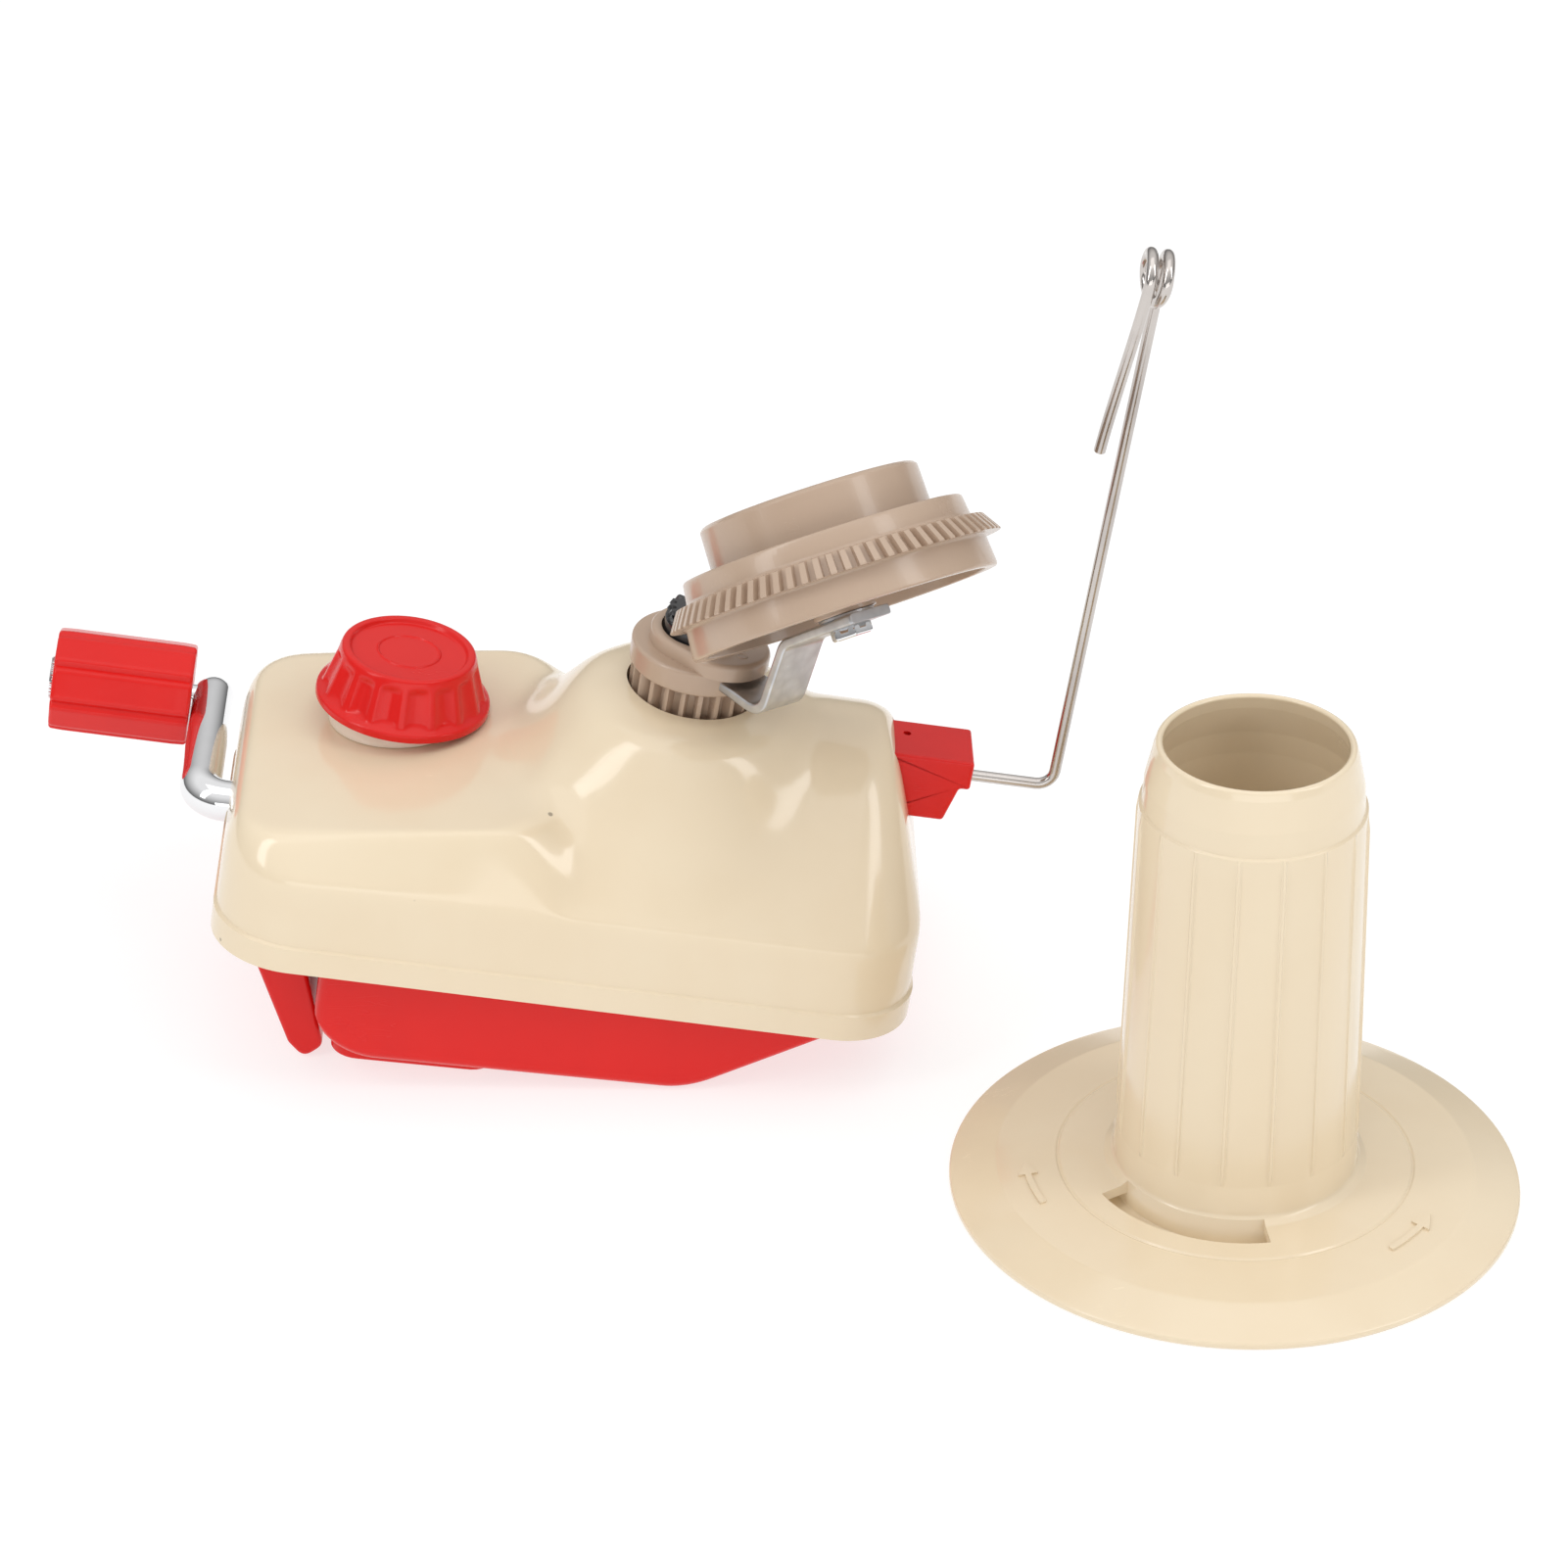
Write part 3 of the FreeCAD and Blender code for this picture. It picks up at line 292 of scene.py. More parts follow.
def baked(piece: bpy.types.Object) -> bpy.types.Mesh:
    """Mesh of a piece with its modifiers worked in, under the piece's own name."""
    bpy.context.view_layer.update()
    mesh = bpy.data.meshes.new_from_object(piece.evaluated_get(bpy.context.evaluated_depsgraph_get()))
    piece.modifiers.clear()
    mesh.name = piece.name
    piece.data = mesh
    return mesh


def even_normals(piece: bpy.types.Object) -> None:
    """Weight the corner normals by face area, so that large flat faces shade flat beside roundings."""
    piece.modifiers.new("normals", "WEIGHTED_NORMAL").keep_sharp = True
    baked(piece)


def carve(piece: bpy.types.Object, cutters: Sequence[bpy.types.Object], wall: float = 0.0,
          sharp: float = 32.0) -> bpy.types.Object:
    """Give an open skin its wall thickness and cut holes, leaving one plain mesh.

    Args:
        piece: the piece to change.
        cutters: closed objects whose volume is removed; they are deleted afterwards.
        wall: thickness added inwards, mm, or 0 for a piece that is already closed.
        sharp: angle in degrees above which an edge stays crisp.

    Returns:
        The piece.
    """
    if wall:
        shell = piece.modifiers.new("wall", "SOLIDIFY")
        shell.thickness, shell.offset = wall * MM, -1.0
    for cutter in cutters:
        hole = piece.modifiers.new("hole", "BOOLEAN")
        hole.operation, hole.solver, hole.object = "DIFFERENCE", "EXACT", cutter
    mesh = baked(piece)
    for cutter in cutters:
        bpy.data.objects.remove(cutter)
    clean(mesh, sharp)
    return piece


def revolved(skin: Skin, profile: Array, angles: Array, shape: Callable | None = None,
             closed: bool = True) -> Skin:
    """Turn a profile round the place's z axis.

    Each point is (r*cos(a), r*sin(a), z), where shape(a, r, z) may first change r and z.

    Args:
        skin: the skin that takes the surface.
        profile: rows of (radius, height).
        angles: the columns' angles.
        shape: change of radius and height with angle.
        closed: whether the profile returns to its first point.

    Returns:
        The skin.
    """
    r, a = np.meshgrid(profile[:, 0], angles, indexing="ij")
    z = np.meshgrid(profile[:, 1], angles, indexing="ij")[0]
    if shape:
        r, z = shape(a, r, z)
    return skin.grid(np.stack([r * np.cos(a), r * np.sin(a), z], -1), round_v=closed)


def swept(skin: Skin, path: Array, section: Array, across: Array, ends: float = 0.3) -> Skin:
    """Carry a closed section along a path, with eased flat ends.

    A ring is path + s*n1 + t*n2 for section points (s, t), where n1 is the across direction made
    square to the path and n2 = tangent x n1.  Extra rings shrink the section by the end's easing.

    Args:
        skin: the skin that takes the surface.
        path: points along the middle line.
        section: rows of (s, t) round the section.
        across: one direction, or one for each path point.
        ends: radius that eases the end edges.

    Returns:
        The skin.
    """
    tangent = unit(np.gradient(path, axis=0))
    n1 = np.broadcast_to(across, path.shape)
    n1 = unit(n1 - (n1 * tangent).sum(1, keepdims=True) * tangent)
    n2 = np.cross(tangent, n1)
    a = np.linspace(0, pi / 2, 6)
    first = path[0] + tangent[0] * (ends * (1 - np.sin(a)))[:, None]
    last = path[-1] - tangent[-1] * (ends * (1 - np.sin(a)))[:, None]
    grow = 1 - ends * (1 - np.cos(a)) / np.abs(section).max()
    from_first, from_last = (np.linalg.norm(path - end, axis=1) for end in (path[0], path[-1]))
    inside = (from_first > ends) & (from_last > ends)
    centre = np.vstack([first[::-1], path[inside], last])
    scale = np.concatenate([grow[::-1], np.ones(inside.sum()), grow])
    m1 = np.vstack([np.repeat(n1[:1], 6, 0), n1[inside], np.repeat(n1[-1:], 6, 0)])
    m2 = np.vstack([np.repeat(n2[:1], 6, 0), n2[inside], np.repeat(n2[-1:], 6, 0)])
    s, t = section[:, 0], section[:, 1]
    ring = s[None, :, None] * m1[:, None] + t[None, :, None] * m2[:, None]
    p = centre[:, None] + scale[:, None, None] * ring
    return skin.grid(p, caps="both")


def prism(skin: Skin, outline: Array, half: float, edge: float) -> Skin:
    """Extrude an outline in the x-z plane across y, with rounded edges along both faces.

    Ring k is the outline moved inwards by edge*(1-sin a) at y = half - edge*(1-cos a) on either side.

    Args:
        skin: the skin that takes the surface.
        outline: rows of (x, z), anticlockwise or clockwise.
        half: half the width across y.
        edge: radius of the long edges.

    Returns:
        The skin.
    """
    ahead = unit(np.roll(outline, -1, 0) - outline)
    before = np.roll(ahead, 1, 0)
    area = (outline[:, 0] * np.roll(outline[:, 1], -1) - np.roll(outline[:, 0], -1) * outline[:, 1]).sum()
    normal = unit(ahead + before)[:, ::-1] * ((-1, 1) if area > 0 else (1, -1))
    lean = np.clip((unit(ahead + before) * ahead).sum(1), 0.5, 1)
    a = np.linspace(0, pi / 2, 6)
    inset = np.concatenate([edge * (1 - np.sin(a)), edge * (1 - np.sin(a))[::-1]])
    y = np.concatenate([-half + edge * (1 - np.cos(a)), half - edge * (1 - np.cos(a))[::-1]])
    xz = outline[None] + inset[:, None, None] * (normal / lean[:, None])[None]
    p = np.stack([xz[..., 0], np.broadcast_to(y[:, None], xz.shape[:2]), xz[..., 1]], -1)
    return skin.grid(p, caps="both")


def circle_section(radius: float, count: int) -> Array:
    """Section points of a round bar."""
    a = ring_angles(count)
    return radius * np.stack([np.cos(a), np.sin(a)], 1)


def arc_line(points: Sequence[Sequence[float]], radii: Sequence[float], spacing: float) -> Array:
    """Straight runs joined by tangent arcs, sampled evenly enough to sweep.

    At a corner the arc's centre lies on the inner bisector; its points are
    centre + radius*(cos(a)*out + sin(a)*along).

    Args:
        points: the corners, three coordinates each.
        radii: bend radius at each inner corner.
        spacing: distance between samples.

    Returns:
        The sampled path.
    """
    p = np.asarray(points, float)
    parts = [p[:1]]
    for k, radius in enumerate(radii, start=1):
        a, b = unit(p[k - 1] - p[k]), unit(p[k + 1] - p[k])
        turn = pi - np.arccos(np.clip(a @ b, -1, 1))
        cut = radius * tan(turn / 2)
        centre = p[k] + unit(a + b) * radius / cos(turn / 2)
        start, stop = p[k] + a * cut, p[k] + b * cut
        parts.append(straight(parts[-1][-1], start, spacing))
        out, along = unit(start - centre), -a
        s = np.linspace(0, turn, max(4, int(radius * turn / (spacing * 0.5))))[1:]
        parts.append(centre + radius * (np.cos(s)[:, None] * out + np.sin(s)[:, None] * along))
        parts[-1][-1] = stop
    parts.append(straight(parts[-1][-1], p[-1], spacing))
    return np.vstack(parts)


def straight(a: Array, b: Array, spacing: float) -> Array:
    """Points from a to b, without a itself."""
    n = max(2, int(np.linalg.norm(b - a) / spacing))
    return a + (b - a) * np.linspace(0, 1, n + 1)[1:, None]


def rod_cutter(place: Place, start: Sequence[float], end: Sequence[float], radius: float) -> bpy.types.Object:
    """Round bar used to cut a hole."""
    path = np.array([start, end], float)
    path = np.vstack([path[0], path.mean(0), path[1]])
    across = (0, 0, 1) if abs(path[1][2] - path[0][2]) < 1e-6 else (1, 0, 0)
    rod = swept(Skin(place), path, circle_section(radius, 48), np.array(across, float), 0.001)
    return rod.build("cutter")


def block_cutter(place: Place, low: Sequence[float], high: Sequence[float]) -> bpy.types.Object:
    """Straight-sided block used to cut a slot."""
    (x0, y0, z0), (x1, y1, z1) = low, high
    ring = np.array([(x0, y0), (x1, y0), (x1, y1), (x0, y1)], float)
    p = np.stack([np.column_stack([ring, np.full(4, z)]) for z in (z0, z1)])
    return Skin(place).grid(p, caps="both").build("cutter")


# ---------------------------------------------------------------- materials
class Value:
    """A socket that carries a number; arithmetic on it adds Math nodes."""

    def __init__(self, nodes: "Nodes", socket: bpy.types.NodeSocket) -> None:
        """Wrap one output socket."""
        self.nodes, self.socket = nodes, socket

    def _with(self, operation: str, other: "Value | float", swap: bool = False) -> "Value":
        """Result of a Math node on this value and another, in either order."""
        pair = (other, self) if swap else (self, other)
        node = self.nodes.add("ShaderNodeMath", {"operation": operation}, {0: pair[0], 1: pair[1]})
        return Value(self.nodes, node.outputs[0])

    def __add__(self, other: "Value | float") -> "Value":
        """Sum."""
        return self._with("ADD", other)

    __radd__ = __add__

    def __sub__(self, other: "Value | float") -> "Value":
        """Difference."""
        return self._with("SUBTRACT", other)

    def __rsub__(self, other: float) -> "Value":
        """Number minus this value."""
        return self._with("SUBTRACT", other, True)

    def __mul__(self, other: "Value | float") -> "Value":
        """Product."""
        return self._with("MULTIPLY", other)

    __rmul__ = __mul__

    def band(self, low: float, high: float) -> "Value":
        """0 below low, 1 above high and a smooth rise between."""
        node = self.nodes.add("ShaderNodeMapRange", {"interpolation_type": "SMOOTHSTEP", "clamp": True},
                              {0: self, 1: low, 2: high, 3: 0.0, 4: 1.0})
        return Value(self.nodes, node.outputs[0])


class Nodes:
    """The node tree of one material."""

    def __init__(self, name: str) -> None:
        """Make the material and its shader."""
        self.material = bpy.data.materials.new(name)
        self.material.use_nodes = True
        self.tree = self.material.node_tree
        self.tree.nodes.clear()
        self.shader = self.add("ShaderNodeBsdfPrincipled", {}, {})
        output = self.add("ShaderNodeOutputMaterial", {}, {})
        self.tree.links.new(self.shader.outputs[0], output.inputs[0])
        self.place = self.add("ShaderNodeTexCoord", {}, {}).outputs["Object"]

    def add(self, kind: str, settings: dict, inputs: dict) -> bpy.types.Node:
        """Add a node.

        Args:
            kind: the node's type.
            settings: properties set first; "stops" fills a ramp with (position, colour) pairs.
            inputs: values, Values or sockets by input name or number.

        Returns:
            The node.
        """
        node = self.tree.nodes.new(kind)
        for key, value in settings.items():
            if key == "stops":
                ramp = node.color_ramp.elements
                for k, (position, colour) in enumerate(value):
                    stop = ramp[k] if k < len(ramp) else ramp.new(position)
                    stop.position, stop.color = position, (*colour, 1.0)
            else:
                setattr(node, key, value)
        for key, value in inputs.items():
            self.feed(node.inputs[key], value)
        return node

    def feed(self, socket: bpy.types.NodeSocket, value: object) -> None:
        """Give a socket a link or a plain value."""
        if isinstance(value, Value):
            value = value.socket
        if isinstance(value, bpy.types.NodeSocket):
            self.tree.links.new(value, socket)
        elif socket.type == "RGBA" and len(value) == 3:
            socket.default_value = (*value, 1.0)
        else:
            socket.default_value = value

    def noise(self, per_metre: float, detail: float = 3.0, rough: float = 0.5,
              stretch: RGB = (1.0, 1.0, 1.0), distortion: float = 0.0) -> Value:
        """Noise from 0 to 1 on Object coordinates, so many blotches a metre, stretched by axis."""
        spot = self.add("ShaderNodeMapping", {}, {"Vector": self.place, "Scale": stretch})
        node = self.add("ShaderNodeTexNoise", {}, {"Vector": spot.outputs[0], "Scale": per_metre,
                                                   "Detail": detail, "Roughness": rough,
                                                   "Distortion": distortion})
        return Value(self, node.outputs[0])

    def cells(self, per_metre: float) -> Value:
        """Distance to the nearest point of a scattered set on Object coordinates."""
        node = self.add("ShaderNodeTexVoronoi", {"feature": "F1"}, {"Vector": self.place, "Scale": per_metre})
        return Value(self, node.outputs["Distance"])

    def blend(self, share: Value, a: object, b: object) -> bpy.types.NodeSocket:
        """Colour between a and b."""
        node = self.add("ShaderNodeMix", {"data_type": "RGBA"}, {"Factor": share, 6: a, 7: b})
        return node.outputs[2]

    def relief(self, height: Value, depth: float, after: object = None) -> bpy.types.NodeSocket:
        """Normal bumped by a height field, depth in metres."""
        node = self.add("ShaderNodeBump", {}, {"Height": height, "Distance": depth, "Strength": 1.0})
        if after is not None:
            self.feed(node.inputs["Normal"], after)
        return node.outputs[0]

    def finish(self, constants: dict, links: dict) -> bpy.types.Material:
        """Set the shader's own sockets and return the material."""
        for key, value in {**constants, **links}.items():
            self.feed(self.shader.inputs[key], value)
        return self.material


def shade(colour: RGB, by: float) -> RGB:
    """A colour made lighter or darker by a factor."""
    return tuple(min(1.0, c * by) for c in colour)


@dataclass(frozen=True)
class Moulded:
    """Injection-moulded plastic: faint mottle, soft sheen variation, hairline scratches and specks."""

    name: str
    colour: RGB
    aged: RGB
    rough: float = 0.16
    coat: float = 0.25
    mottle: float = 0.5
    specks: float = 0.0
    peel: float = 1.2e-5
    shine: float = 0.5

    def make(self) -> bpy.types.Material:
        """Build the material: colour, sheen and relief all vary over the surface."""
        n = Nodes(self.name)
        cloud = n.noise(26.0, 4.0, 0.55)
        streak = n.noise(60.0, 2.0, 0.5, (1.0, 1.0, 0.18), 0.6)
        tone = n.blend((cloud * 0.7 + streak * 0.3).band(0.32, 0.74) * self.mottle, self.colour, self.aged)
        hair = n.noise(420.0, 2.0, 0.4, (0.05, 1.0, 1.0), 2.0)
        fine_lines = (1.0 - (hair - 0.5) * (hair - 0.5) * 9000.0).band(0.2, 1.0)
        worn = n.noise(34.0, 3.0, 0.6).band(0.52, 0.74)
        scuffs = fine_lines * worn
        if self.specks:
            dot = 1.0 - n.cells(95.0).band(0.035, 0.06)
            chosen = n.noise(140.0, 0.0).band(0.60, 0.64)
            tone = n.blend(dot * chosen * self.specks, tone, shade(self.aged, 0.32))
        sheen = n.noise(90.0, 5.0, 0.6) * 0.07 + worn * 0.05 + scuffs * 0.12 + self.rough - 0.03
        peel = n.relief(n.noise(330.0, 3.0, 0.5), self.peel)
        grain = n.relief(n.noise(2600.0, 2.0, 0.5) + scuffs * -1.2, self.peel * 0.22, peel)
        return n.finish({"Coat Roughness": 0.06, "IOR": 1.49, "Specular IOR Level": self.shine},
                        {"Base Color": tone, "Roughness": sheen,
                         "Coat Weight": (1.0 - worn * 0.5) * self.coat, "Normal": grain})


@dataclass(frozen=True)
class Plated:
    """Metal: bright chrome, drawn steel wire, zinc plate or brass, by its streaks, clouds and spangles."""

    name: str
    colour: RGB
    dull: RGB
    rough: float
    cloud: float = 0.05
    streak: float = 0.0
    spangle: float = 0.0
    stretch: RGB = (1.0, 1.0, 1.0)
    depth: float = 4e-6

    def make(self) -> bpy.types.Material:
        """Build the material: tone, roughness and fine relief vary over the surface."""
        n = Nodes(self.name)
        cloud = n.noise(55.0, 4.0, 0.6)
        lines = n.noise(900.0, 3.0, 0.6, self.stretch)
        flake = n.cells(420.0)
        share = (cloud.band(0.35, 0.7) * 0.6 + lines * self.streak * 0.6 + flake * self.spangle)
        tone = n.blend(share, self.colour, self.dull)
        smudge = n.noise(120.0, 5.0, 0.65).band(0.45, 0.75)
        sheen = smudge * self.cloud + lines * self.streak * 0.14 + flake * self.spangle * 0.2 + self.rough
        relief = n.relief(lines * (0.4 + self.streak) + flake * self.spangle + cloud * 0.2, self.depth)
        return n.finish({"Metallic": 1.0}, {"Base Color": tone, "Roughness": sheen, "Normal": relief})


CREAM: RGB = (0.80, 0.675, 0.49)
RED: RGB = (0.72, 0.012, 0.009)
TAN: RGB = (0.50, 0.37, 0.275)


class Finish(Enum):
    """Every finish on the winder."""

    CREAM = Moulded("cream_plastic", CREAM, (0.76, 0.615, 0.42), 0.15, 0.35, 0.55, 0.8)
    RED = Moulded("red_plastic", RED, (0.60, 0.008, 0.008), 0.22, 0.05, 0.5, 0.0, shine=0.3)
    TAN = Moulded("tan_plastic", TAN, (0.44, 0.31, 0.22), 0.24, 0.2, 0.6, 0.3)
    BLACK = Moulded("black_plastic", (0.012, 0.012, 0.014), (0.03, 0.028, 0.027), 0.22, 0.4, 0.5)
    CLEAR = Moulded("clear_plastic", (0.86, 0.76, 0.64), (0.80, 0.68, 0.55), 0.10, 0.4, 0.4)
    NYLON = Moulded("white_nylon", (0.80, 0.79, 0.75), (0.70, 0.68, 0.62), 0.36, 0.05, 0.5)
    RUBBER = Moulded("rubber", (0.035, 0.034, 0.033), (0.06, 0.058, 0.055), 0.62, 0.0, 0.6, 0.0, 4e-5)
    CHROME = Plated("chrome_steel", (0.88, 0.88, 0.89), (0.80, 0.80, 0.81), 0.045, 0.06)
    WIRE = Plated("wire_steel", (0.62, 0.58, 0.55), (0.44, 0.40, 0.38), 0.13, 0.10, 0.4, 0.0,
                  (1.0, 1.0, 0.04))
    ZINC = Plated("zinc_steel", (0.72, 0.73, 0.74), (0.50, 0.51, 0.53), 0.24, 0.12, 0.35, 0.5,
                  (1.0, 1.0, 0.15))
    BRASS = Plated("brass", (0.80, 0.60, 0.26), (0.58, 0.42, 0.18), 0.24, 0.12, 0.3)


class Paint:
    """Makes each finish once and puts it on pieces."""

    def __init__(self) -> None:
        """Start with no material made."""
        self.made: dict[Finish, bpy.types.Material] = {}

    def on(self, piece: bpy.types.Object, finish: Finish) -> None:
        """Give a piece one finish all over."""
        if finish not in self.made:
            self.made[finish] = finish.value.make()
        piece.data.materials.clear()
        piece.data.materials.append(self.made[finish])


PAINT = Paint()


def settle(piece: bpy.types.Object, finish: Finish, body: str, *nodes: str) -> bpy.types.Object:
    """Paint a new piece, let it ride on its body and stand for its CAD nodes.

    Args:
        piece: the finished mesh object.
        finish: its finish.
        body: the body that it rides on.
        nodes: CAD nodes that it stands for.

    Returns:
        The piece.
    """
    even_normals(piece)
    PAINT.on(piece, finish)
    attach(piece, body)
    if nodes:
        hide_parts(*nodes)
    log.info("%s: %d faces, rides on %s, stands for %s", piece.name, len(piece.data.polygons), body,
             ", ".join(nodes) or "nothing")
    return piece


def smooth_copy(node: str, finish: Finish, body: str) -> bpy.types.Object:
    """A merged, smooth-shaded copy of a CAD node that is already the right shape."""
    mesh = frame["nodes"][node].data.copy()
    mesh.name = node + "_skin"
    clean(mesh, 30.0)
    piece = bpy.data.objects.new(node + "_skin", mesh)
    bpy.context.scene.collection.objects.link(piece)
    return settle(piece, finish, body, node)


# ---------------------------------------------------------------- housing
@dataclass
class Housing:
    """Cream cover, red base with its heel, guide arm, wire and the fixed column."""

    place: Place
    length: float = 139.0
    width: float = 86.0
    corner: float = 16.0
    lip: float = 0.5
    lip_height: float = 5.5
    wall_top: float = 19.4
    wall: float = 2.2
    deck_left: float = 25.4
    deck_slope: float = 9.0
    ridge_top: float = 48.6
    spindle: float = SPINDLE
    hole: float = 13.3
    columns: int = 320
    rows: int = 112
    crank_z: float = CRANK_HEIGHT
    knob: tuple[float, float] = KNOB_AT
    arm_half: float = 7.0
    wire_radius: float = 1.15
    eye_radius: float = 4.6
    squash_from: float = 66.0
    squash: float = 0.4

    def deck(self, x: Array) -> Array:
        """Height of the deck's plane: left height plus a rise of tan(slope)."""
        return self.deck_left + (x + self.length / 2 - 1) * tan(radians(self.deck_slope))

    def block(self, x: Array, y: Array, foot: Sequence[float], top: Sequence[float],
              level: Array, ease: float) -> Array:
        """Height of a block whose rounded-rectangle foot tapers to a rounded-rectangle top.

        Halving finds the share s at which the outline foot + s*(top-foot) passes through each point;
        the slope's height is wall top + s*(level - wall top), eased into the level plane.

        Args:
            x: first coordinates.
            y: second coordinates.
            foot: x0, x1, half width and corner at the wall's top.
            top: the same at the block's top.
            level: height of the top at each point.
            ease: width over which the top edge is rounded.

        Returns:
            The heights.
        """
        low, high = np.full(x.shape, -0.3), np.full(x.shape, 1.5)
        for _ in range(26):
            s = (low + high) / 2
            sizes = [a + s * (b - a) for a, b in zip(foot, top)]
            inside = rounded_box_depth(x, y, sizes[0], sizes[1], sizes[2], np.maximum(sizes[3], 0.5)) < 0
            low, high = np.where(inside, s, low), np.where(inside, high, s)
        slope = self.wall_top + low * (level - self.wall_top)
        return soft_min(slope, level, ease)

    def height(self, x: Array, y: Array) -> Array:
        """Height of the cover's top: soft union of the deck's block, the ridge and the dome."""
        half, depth = self.length / 2 - self.lip, self.width / 2 - self.lip
        deck = self.block(x, y, (-half, 10.0, depth, self.corner), (-half + 1.5, -8.0, 36.5, 10.0),
                          self.deck(x), 1.6)
        ridge = self.block(x, y, (-20.0, half, depth, self.corner), (0.0, 59.5, 11.0, 6.0),
                           np.full(x.shape, self.ridge_top), 8.0)
        out = np.hypot(x - self.spindle, y)
        cone = self.wall_top + (41.5 - out) * (49.0 - self.wall_top) / (41.5 - 23.0)
        crown = 51.0 - np.maximum(out - 15.3, 0) * 0.26
        dome = soft_min(cone, crown, 4.0)
        room = np.clip((np.maximum(np.maximum(deck, ridge), dome) - self.wall_top) / 9.0, 0.04, 1.0)
        return soft_max(soft_max(deck, dome, 9.0 * room), ridge, 6.0 * room)

    def cover(self) -> bpy.types.Object:
        """The cover: lines run from the rim up the wall and inwards to the spindle's hole.

        A row inside is outline + t*(hole - outline) with its height from the soft union, and the
        whole field is then averaged along both directions a few times, which rounds every crease.

        Returns:
            The cream cover.
        """
        outline, inner = (rounded_box_outline(-self.length / 2 + lip, self.length / 2 - lip,
                                              self.width / 2 - lip, self.corner, self.columns)
                          for lip in (0.0, self.lip))
        a = np.arctan2(inner[:, 1], inner[:, 0] - self.spindle)
        hole = np.stack([self.spindle + self.hole * np.cos(a), self.hole * np.sin(a)], 1)
        rim = [(outline, 0.0), (outline, 0.5), (outline, self.lip_height - 0.5),
               (outline, self.lip_height - 0.12), (outline * 0.4 + inner * 0.6, self.lip_height + 0.12),
               (inner, self.lip_height + 0.35)]
        flat = [np.column_stack([xy, np.full(len(xy), z)]) for xy, z in rim]
        top = self.height(inner[:, 0], inner[:, 1])
        w = np.linspace(0, 1, 12)[1:, None]
        wall_z = (self.lip_height + 0.35) * (1 - w) + top[None] * w
        t = (np.linspace(0, 1, self.rows) ** 1.15)[1:, None, None]
        xy = inner[None] * (1 - t) + hole[None] * t
        z = self.height(xy[..., 0], xy[..., 1])
        walls = np.concatenate([np.broadcast_to(inner[None], (11, self.columns, 2)), wall_z[..., None]], -1)
        field = np.concatenate([walls, np.concatenate([xy, z[..., None]], -1)], 0)
        for k in range(12):
            field[2:-2] = (field[1:-3] + 2 * field[2:-2] + field[3:-1]) / 4
            if k < 6:
                field[2:] = (np.roll(field[2:], 1, 1) + 2 * field[2:] + np.roll(field[2:], -1, 1)) / 4
        p = np.concatenate([np.stack(flat), field], 0)
        piece = Skin(self.place).grid(p).build("cover_skin", 38)
        shaft = rod_cutter(self.place, (-80, 0, self.crank_z), (-62, 0, self.crank_z), 5.4)
        slot = block_cutter(self.place, (57.0, -self.arm_half - 0.2, 31.1), (80, self.arm_half + 0.2, 45.6))
        piece = carve(piece, (shaft, slot), self.wall, 38)
        return settle(piece, Finish.CREAM, "housing", "top_cover")

    def tray_depth(self, x: Array) -> Array:
        """Height of the tray's underside: elliptical left bend, nearly level floor, sloping right end."""
        floor = tray_floor(x)
        slope = 0.4 - (59.6 - x) * 19.35 / 30.6
        bend = -11.0 - 10.6 * np.sqrt(np.clip(1 - ((x + 34.0) / 13.2) ** 2, 0, 1))
        return np.where(x < -34.0, np.maximum(bend, floor), soft_max(floor, slope, 3.0))

    def base(self) -> bpy.types.Object:
        """The red base: a flange plate inside the cover's rim and the tray below it, then the heel.

        Lines run from the plate's edge to the tray's rim, down its wall, round the bottom edge and in to
        the middle; the edge lifts the floor by R - sqrt(R*R - (R-d)*(R-d)) at a distance d from the wall.

        Returns:
            The red base.
        """
        n, edge = self.columns, 2.4
        plate = rounded_box_outline(-66.6, 66.6, 40.1, 13.6, n)
        rim = rounded_box_outline(-47.2, 59.6, 38.0, 2.4, n)
        parts = [np.column_stack([plate, np.full(n, z)]) for z in (2.6, 0.7)]
        parts.append(np.column_stack([plate - unit(plate) * 0.3, np.full(n, 0.4)]))
        near = rim + unit(rim - np.array([6.8, 0.0])) * 0.5
        parts.append(np.column_stack([near, np.full(n, 0.4)]))
        middle = np.stack([np.clip(rim[:, 0], -25.0, 35.0), np.zeros(n)], 1)
        length = np.linalg.norm(middle - rim, axis=1)
        d0 = np.array([0.0, 0.08, 0.22, 0.45, 0.8, 1.25, 1.8, 2.4, 3.2, 4.4, 6.0])
        inner = d0[:, None] / length[None]
        rest = inner[-1][None] + (1 - inner[-1][None]) * np.linspace(0, 1, 22)[1:, None]
        t = np.concatenate([inner, rest], 0)[..., None]
        xy = rim[None] * (1 - t) + middle[None] * t
        d = np.clip(38.0 - np.abs(xy[..., 1]), 0, edge)
        floor = self.tray_depth(xy[..., 0]) + edge - np.sqrt(edge**2 - (edge - d) ** 2)
        floor = np.minimum(floor, 0.35)
        w = np.linspace(0, 1, 9)[:-1, None]
        wall_z = 0.1 * (1 - w) + floor[0][None] * w
        walls = np.concatenate([np.broadcast_to(rim[None], (8, n, 2)), wall_z[..., None]], -1)
        p = np.concatenate([np.stack(parts), walls, np.concatenate([xy, floor[..., None]], -1)], 0)
        body = Skin(self.place).grid(p).build("base_skin", 40)
        x, y = self.knob
        holes = [rod_cutter(self.place, (x, y, -32), (x, y, -10), 3.3),
                 rod_cutter(self.place, (x, -14.0, -32), (x, -14.0, -10), 2.55)]
        body = carve(body, holes, 2.0, 40)
